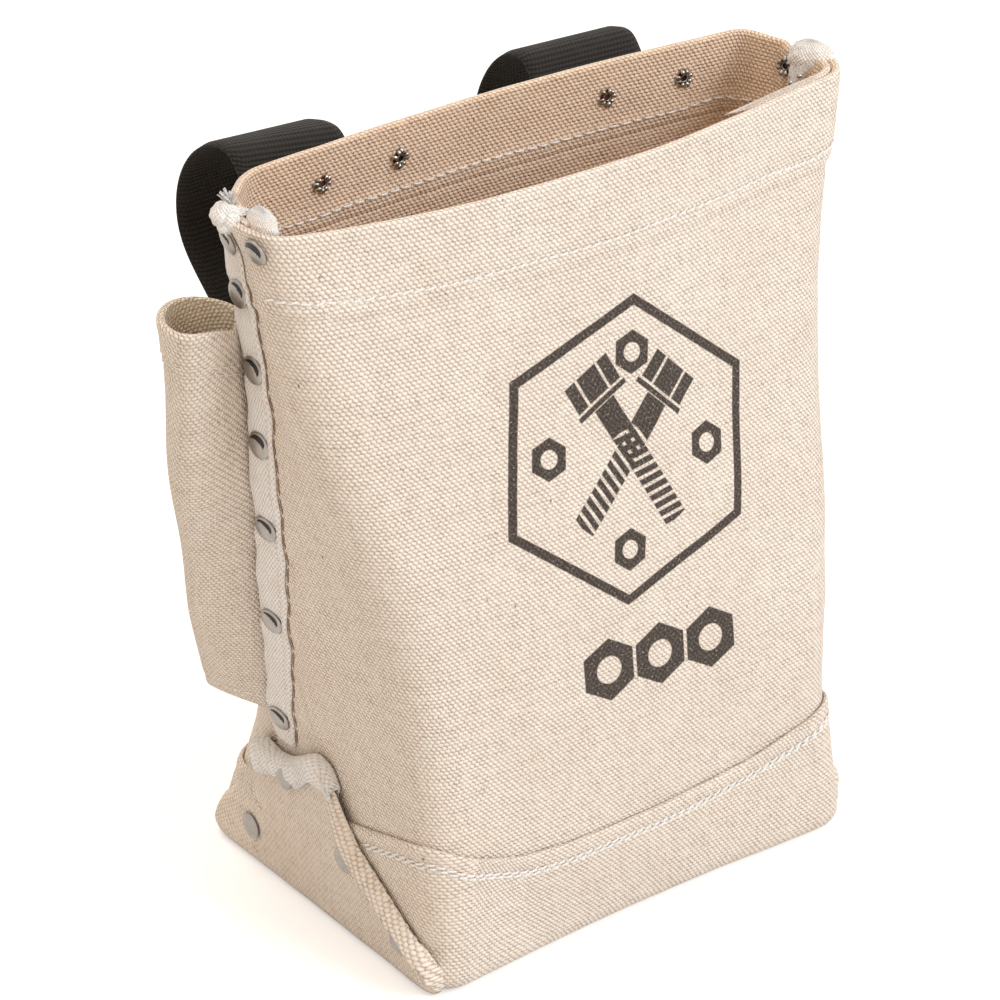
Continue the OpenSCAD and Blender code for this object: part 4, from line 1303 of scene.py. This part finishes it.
front_s, back_row_s = along_hem(0, 14, -9), along_hem(4, 8, -8)
wander = HEM_ROW + 0.35 * np.sin(front_s * 9) + 0.2 * np.sin(front_s * 23 + 1)
front_z, back_z = hem_fold(front_s) + wander, FOLD_Z + wander
HEM_INSIDE = -2 * PLY_T - 0.4
add_stitches("front_hem_stitches", [wall_row(front_s, front_z, 0.3)], thread_white,
             gap=0.5, thick=0.8, slant=0.6)
add_stitches("back_hem_stitches", [wall_row(back_row_s, back_z, 0.12)], thread_cream,
             long=3.6, gap=0.8)
add_stitches("inside_hem_stitches", [wall_row(back_row_s, back_z, HEM_INSIDE, True),
                                     wall_row(front_s, front_z, HEM_INSIDE, True)],
             thread_white, long=3.6, thick=0.8)
boot_rows = []
for start, end in ((0.5, 3.5), (4.95, 7.05)):
    s = np.linspace(start, end, 1200)
    for drop in BOOT_ROWS_DOWN:
        boot_rows.append(wall_row(s, boot_top(s) - drop + 0.25 * np.sin(s * 14), PLY + 0.1))
add_stitches("boot_stitches", boot_rows, thread_white, long=3.3, gap=0.3, thick=0.95, slant=0.7)

# a row of long brown stitches beside each tape's front edge, which paints the shadow line along that
# edge
z = np.arange(TAPE_FOOT, RIM_H - 12, 1.0)
beside_tape = TAPE_W / 2 * tape_slim(z, 1) + 0.75 + 0.2 * np.sin(z / 5)
tape_rows = [wall_row(past_seam(z, seam, way * beside_tape), z, 0.05) for seam, way, _ in SEAMS]
add_stitches("tape_edge_painted_shadow_stitches", tape_rows, thread_painted_shadow_brown, long=7.0, gap=0.25, thick=0.6,
             slant=0.3)


def skin_row(row):
    """A row of points just outside the sleeve, with normals that point away from its middle."""
    grid = sleeve_skin
    path = np.concatenate([grid[row], grid[row][:1]])
    up = grid[row + 1] - grid[row - 1]
    n = unit(np.cross(np.gradient(path, axis=0), np.concatenate([up, up[:1]])))
    n = n * np.sign(((path - grid[row].mean(0)) * n).sum(1, keepdims=True))
    return path + n * 0.1, n


heights = sleeve_skin[:, :, 2].mean(1)
mouth_rows = [skin_row(int(np.argmin(np.abs(SLEEVE_TOP - drop - heights))))
              for drop in SLEEVE_ROWS_DOWN]
add_stitches("sleeve_stitches", mouth_rows, thread_cream, long=3.0, gap=1.0, thick=0.55)
foot, foot_n = skin_row(3)
foot_rows = [(foot[part], foot_n[part]) for part in (slice(8, 60), slice(72, 124))]
add_stitches("sleeve_foot_stitches", foot_rows, thread_white, long=3.2, thick=0.6)


# ---- stage ----
FLOOR_GLOW, FLOOR_REACH = 0.42, 4000
WORLD_COLOUR, WORLD_STRENGTH = (1.0, 0.86, 0.715), 0.785


def background_rays(tree):
    """1 for the rays that see the background itself, in the camera, in metal or through glass."""
    rays = tree.nodes.new("ShaderNodeLightPath").outputs
    total = rays["Is Camera Ray"]
    for name in ("Is Glossy Ray", "Is Transmission Ray"):
        node = tree.nodes.new("ShaderNodeMath")
        node.operation, node.use_clamp = "ADD", True
        tree.links.new(total, node.inputs[0])
        tree.links.new(rays[name], node.inputs[1])
        total = node.outputs[0]
    return total


def make_floor():
    """A plain pale floor: lit as it is for the object, and close to white for the camera, with
    the shadow kept."""
    look = Look("pale_floor", specular=0.0)
    look.put(look.shader, "Base Color", (0.80, 0.795, 0.79, 1))
    look.put(look.shader, "Emission Color", (1, 1, 1, 1))
    look.put(look.shader, "Emission Strength", look.mul(background_rays(look.tree), FLOOR_GLOW))
    corners = [(-1, -1, 0), (1, -1, 0), (1, 1, 0), (-1, 1, 0)]
    floor = add_object("floor", np.array(corners) * FLOOR_REACH, [[0, 1, 2, 3]])
    floor.data.materials.append(look.material)
    floor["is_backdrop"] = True


def make_world():
    world = bpy.data.worlds.new("studio")
    bpy.context.scene.world = world
    world.use_nodes = True
    tree = world.node_tree
    shader = tree.nodes.new("ShaderNodeMixShader")
    tree.links.new(background_rays(tree), shader.inputs[0])
    ambient, white = tree.nodes["Background"], tree.nodes.new("ShaderNodeBackground")
    looks = ((ambient, WORLD_COLOUR, WORLD_STRENGTH), (white, (1, 1, 1), 1.0))
    for i, (node, colour, strength) in enumerate(looks):
        node.inputs["Color"].default_value = (*colour, 1)
        node.inputs["Strength"].default_value = strength
        tree.links.new(node.outputs[0], shader.inputs[i + 1])
    tree.links.new(shader.outputs[0], tree.nodes["World Output"].inputs[0])


def add_lamp(name, place, target, size, power, colour):
    data = bpy.data.lights.new(name, "AREA")
    data.shape = "DISK"
    data.size, data.energy, data.color = size, power, colour
    lamp = bpy.data.objects.new(name, data)
    lamp.location = place
    lamp.rotation_euler = (Vector(target) - Vector(place)).to_track_quat("-Z", "Y").to_euler()
    bpy.context.scene.collection.objects.link(lamp)


def add_camera(azimuth, elevation, distance, lens, height, shift_right, shift_up):
    """The camera stands ahead of the bag, to its left and above it; angles are in degrees."""
    data = bpy.data.cameras.new("camera")
    data.sensor_width, data.lens = 36, lens
    data.clip_start, data.clip_end = 0.05, 20
    camera = bpy.data.objects.new("camera", data)
    bpy.context.scene.collection.objects.link(camera)
    a, e = math.radians(azimuth), math.radians(elevation)
    forward = Vector((math.sin(a) * math.cos(e), math.cos(a) * math.cos(e), -math.sin(e)))
    right = Vector((math.cos(a), -math.sin(a), 0))
    target = Vector((0, 0, height)) + right * shift_right + right.cross(forward) * shift_up
    camera.location = target - forward * distance
    camera.rotation_euler = forward.to_track_quat("-Z", "Y").to_euler()
    bpy.context.scene.camera = camera


make_floor()
make_world()
middle = (0, 0, 0.12)
add_lamp("key", (0.75, -1.65, 1.35), middle, size=1.1, power=25.5, colour=(0.82, 0.91, 1.0))
add_lamp("top", (-0.25, 0.35, 1.9), middle, size=1.2, power=10, colour=(1.0, 0.99, 0.97))
add_camera(azimuth=37.6, elevation=27.6, distance=1.154, lens=130.2, height=0.127,
           shift_right=-0.0096, shift_up=-0.0045)
bpy.context.scene.view_settings.view_transform = "Standard"

low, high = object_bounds()
{"cad": [list(cad_low), list(cad_high)], "visual": [list(low), list(high)]}
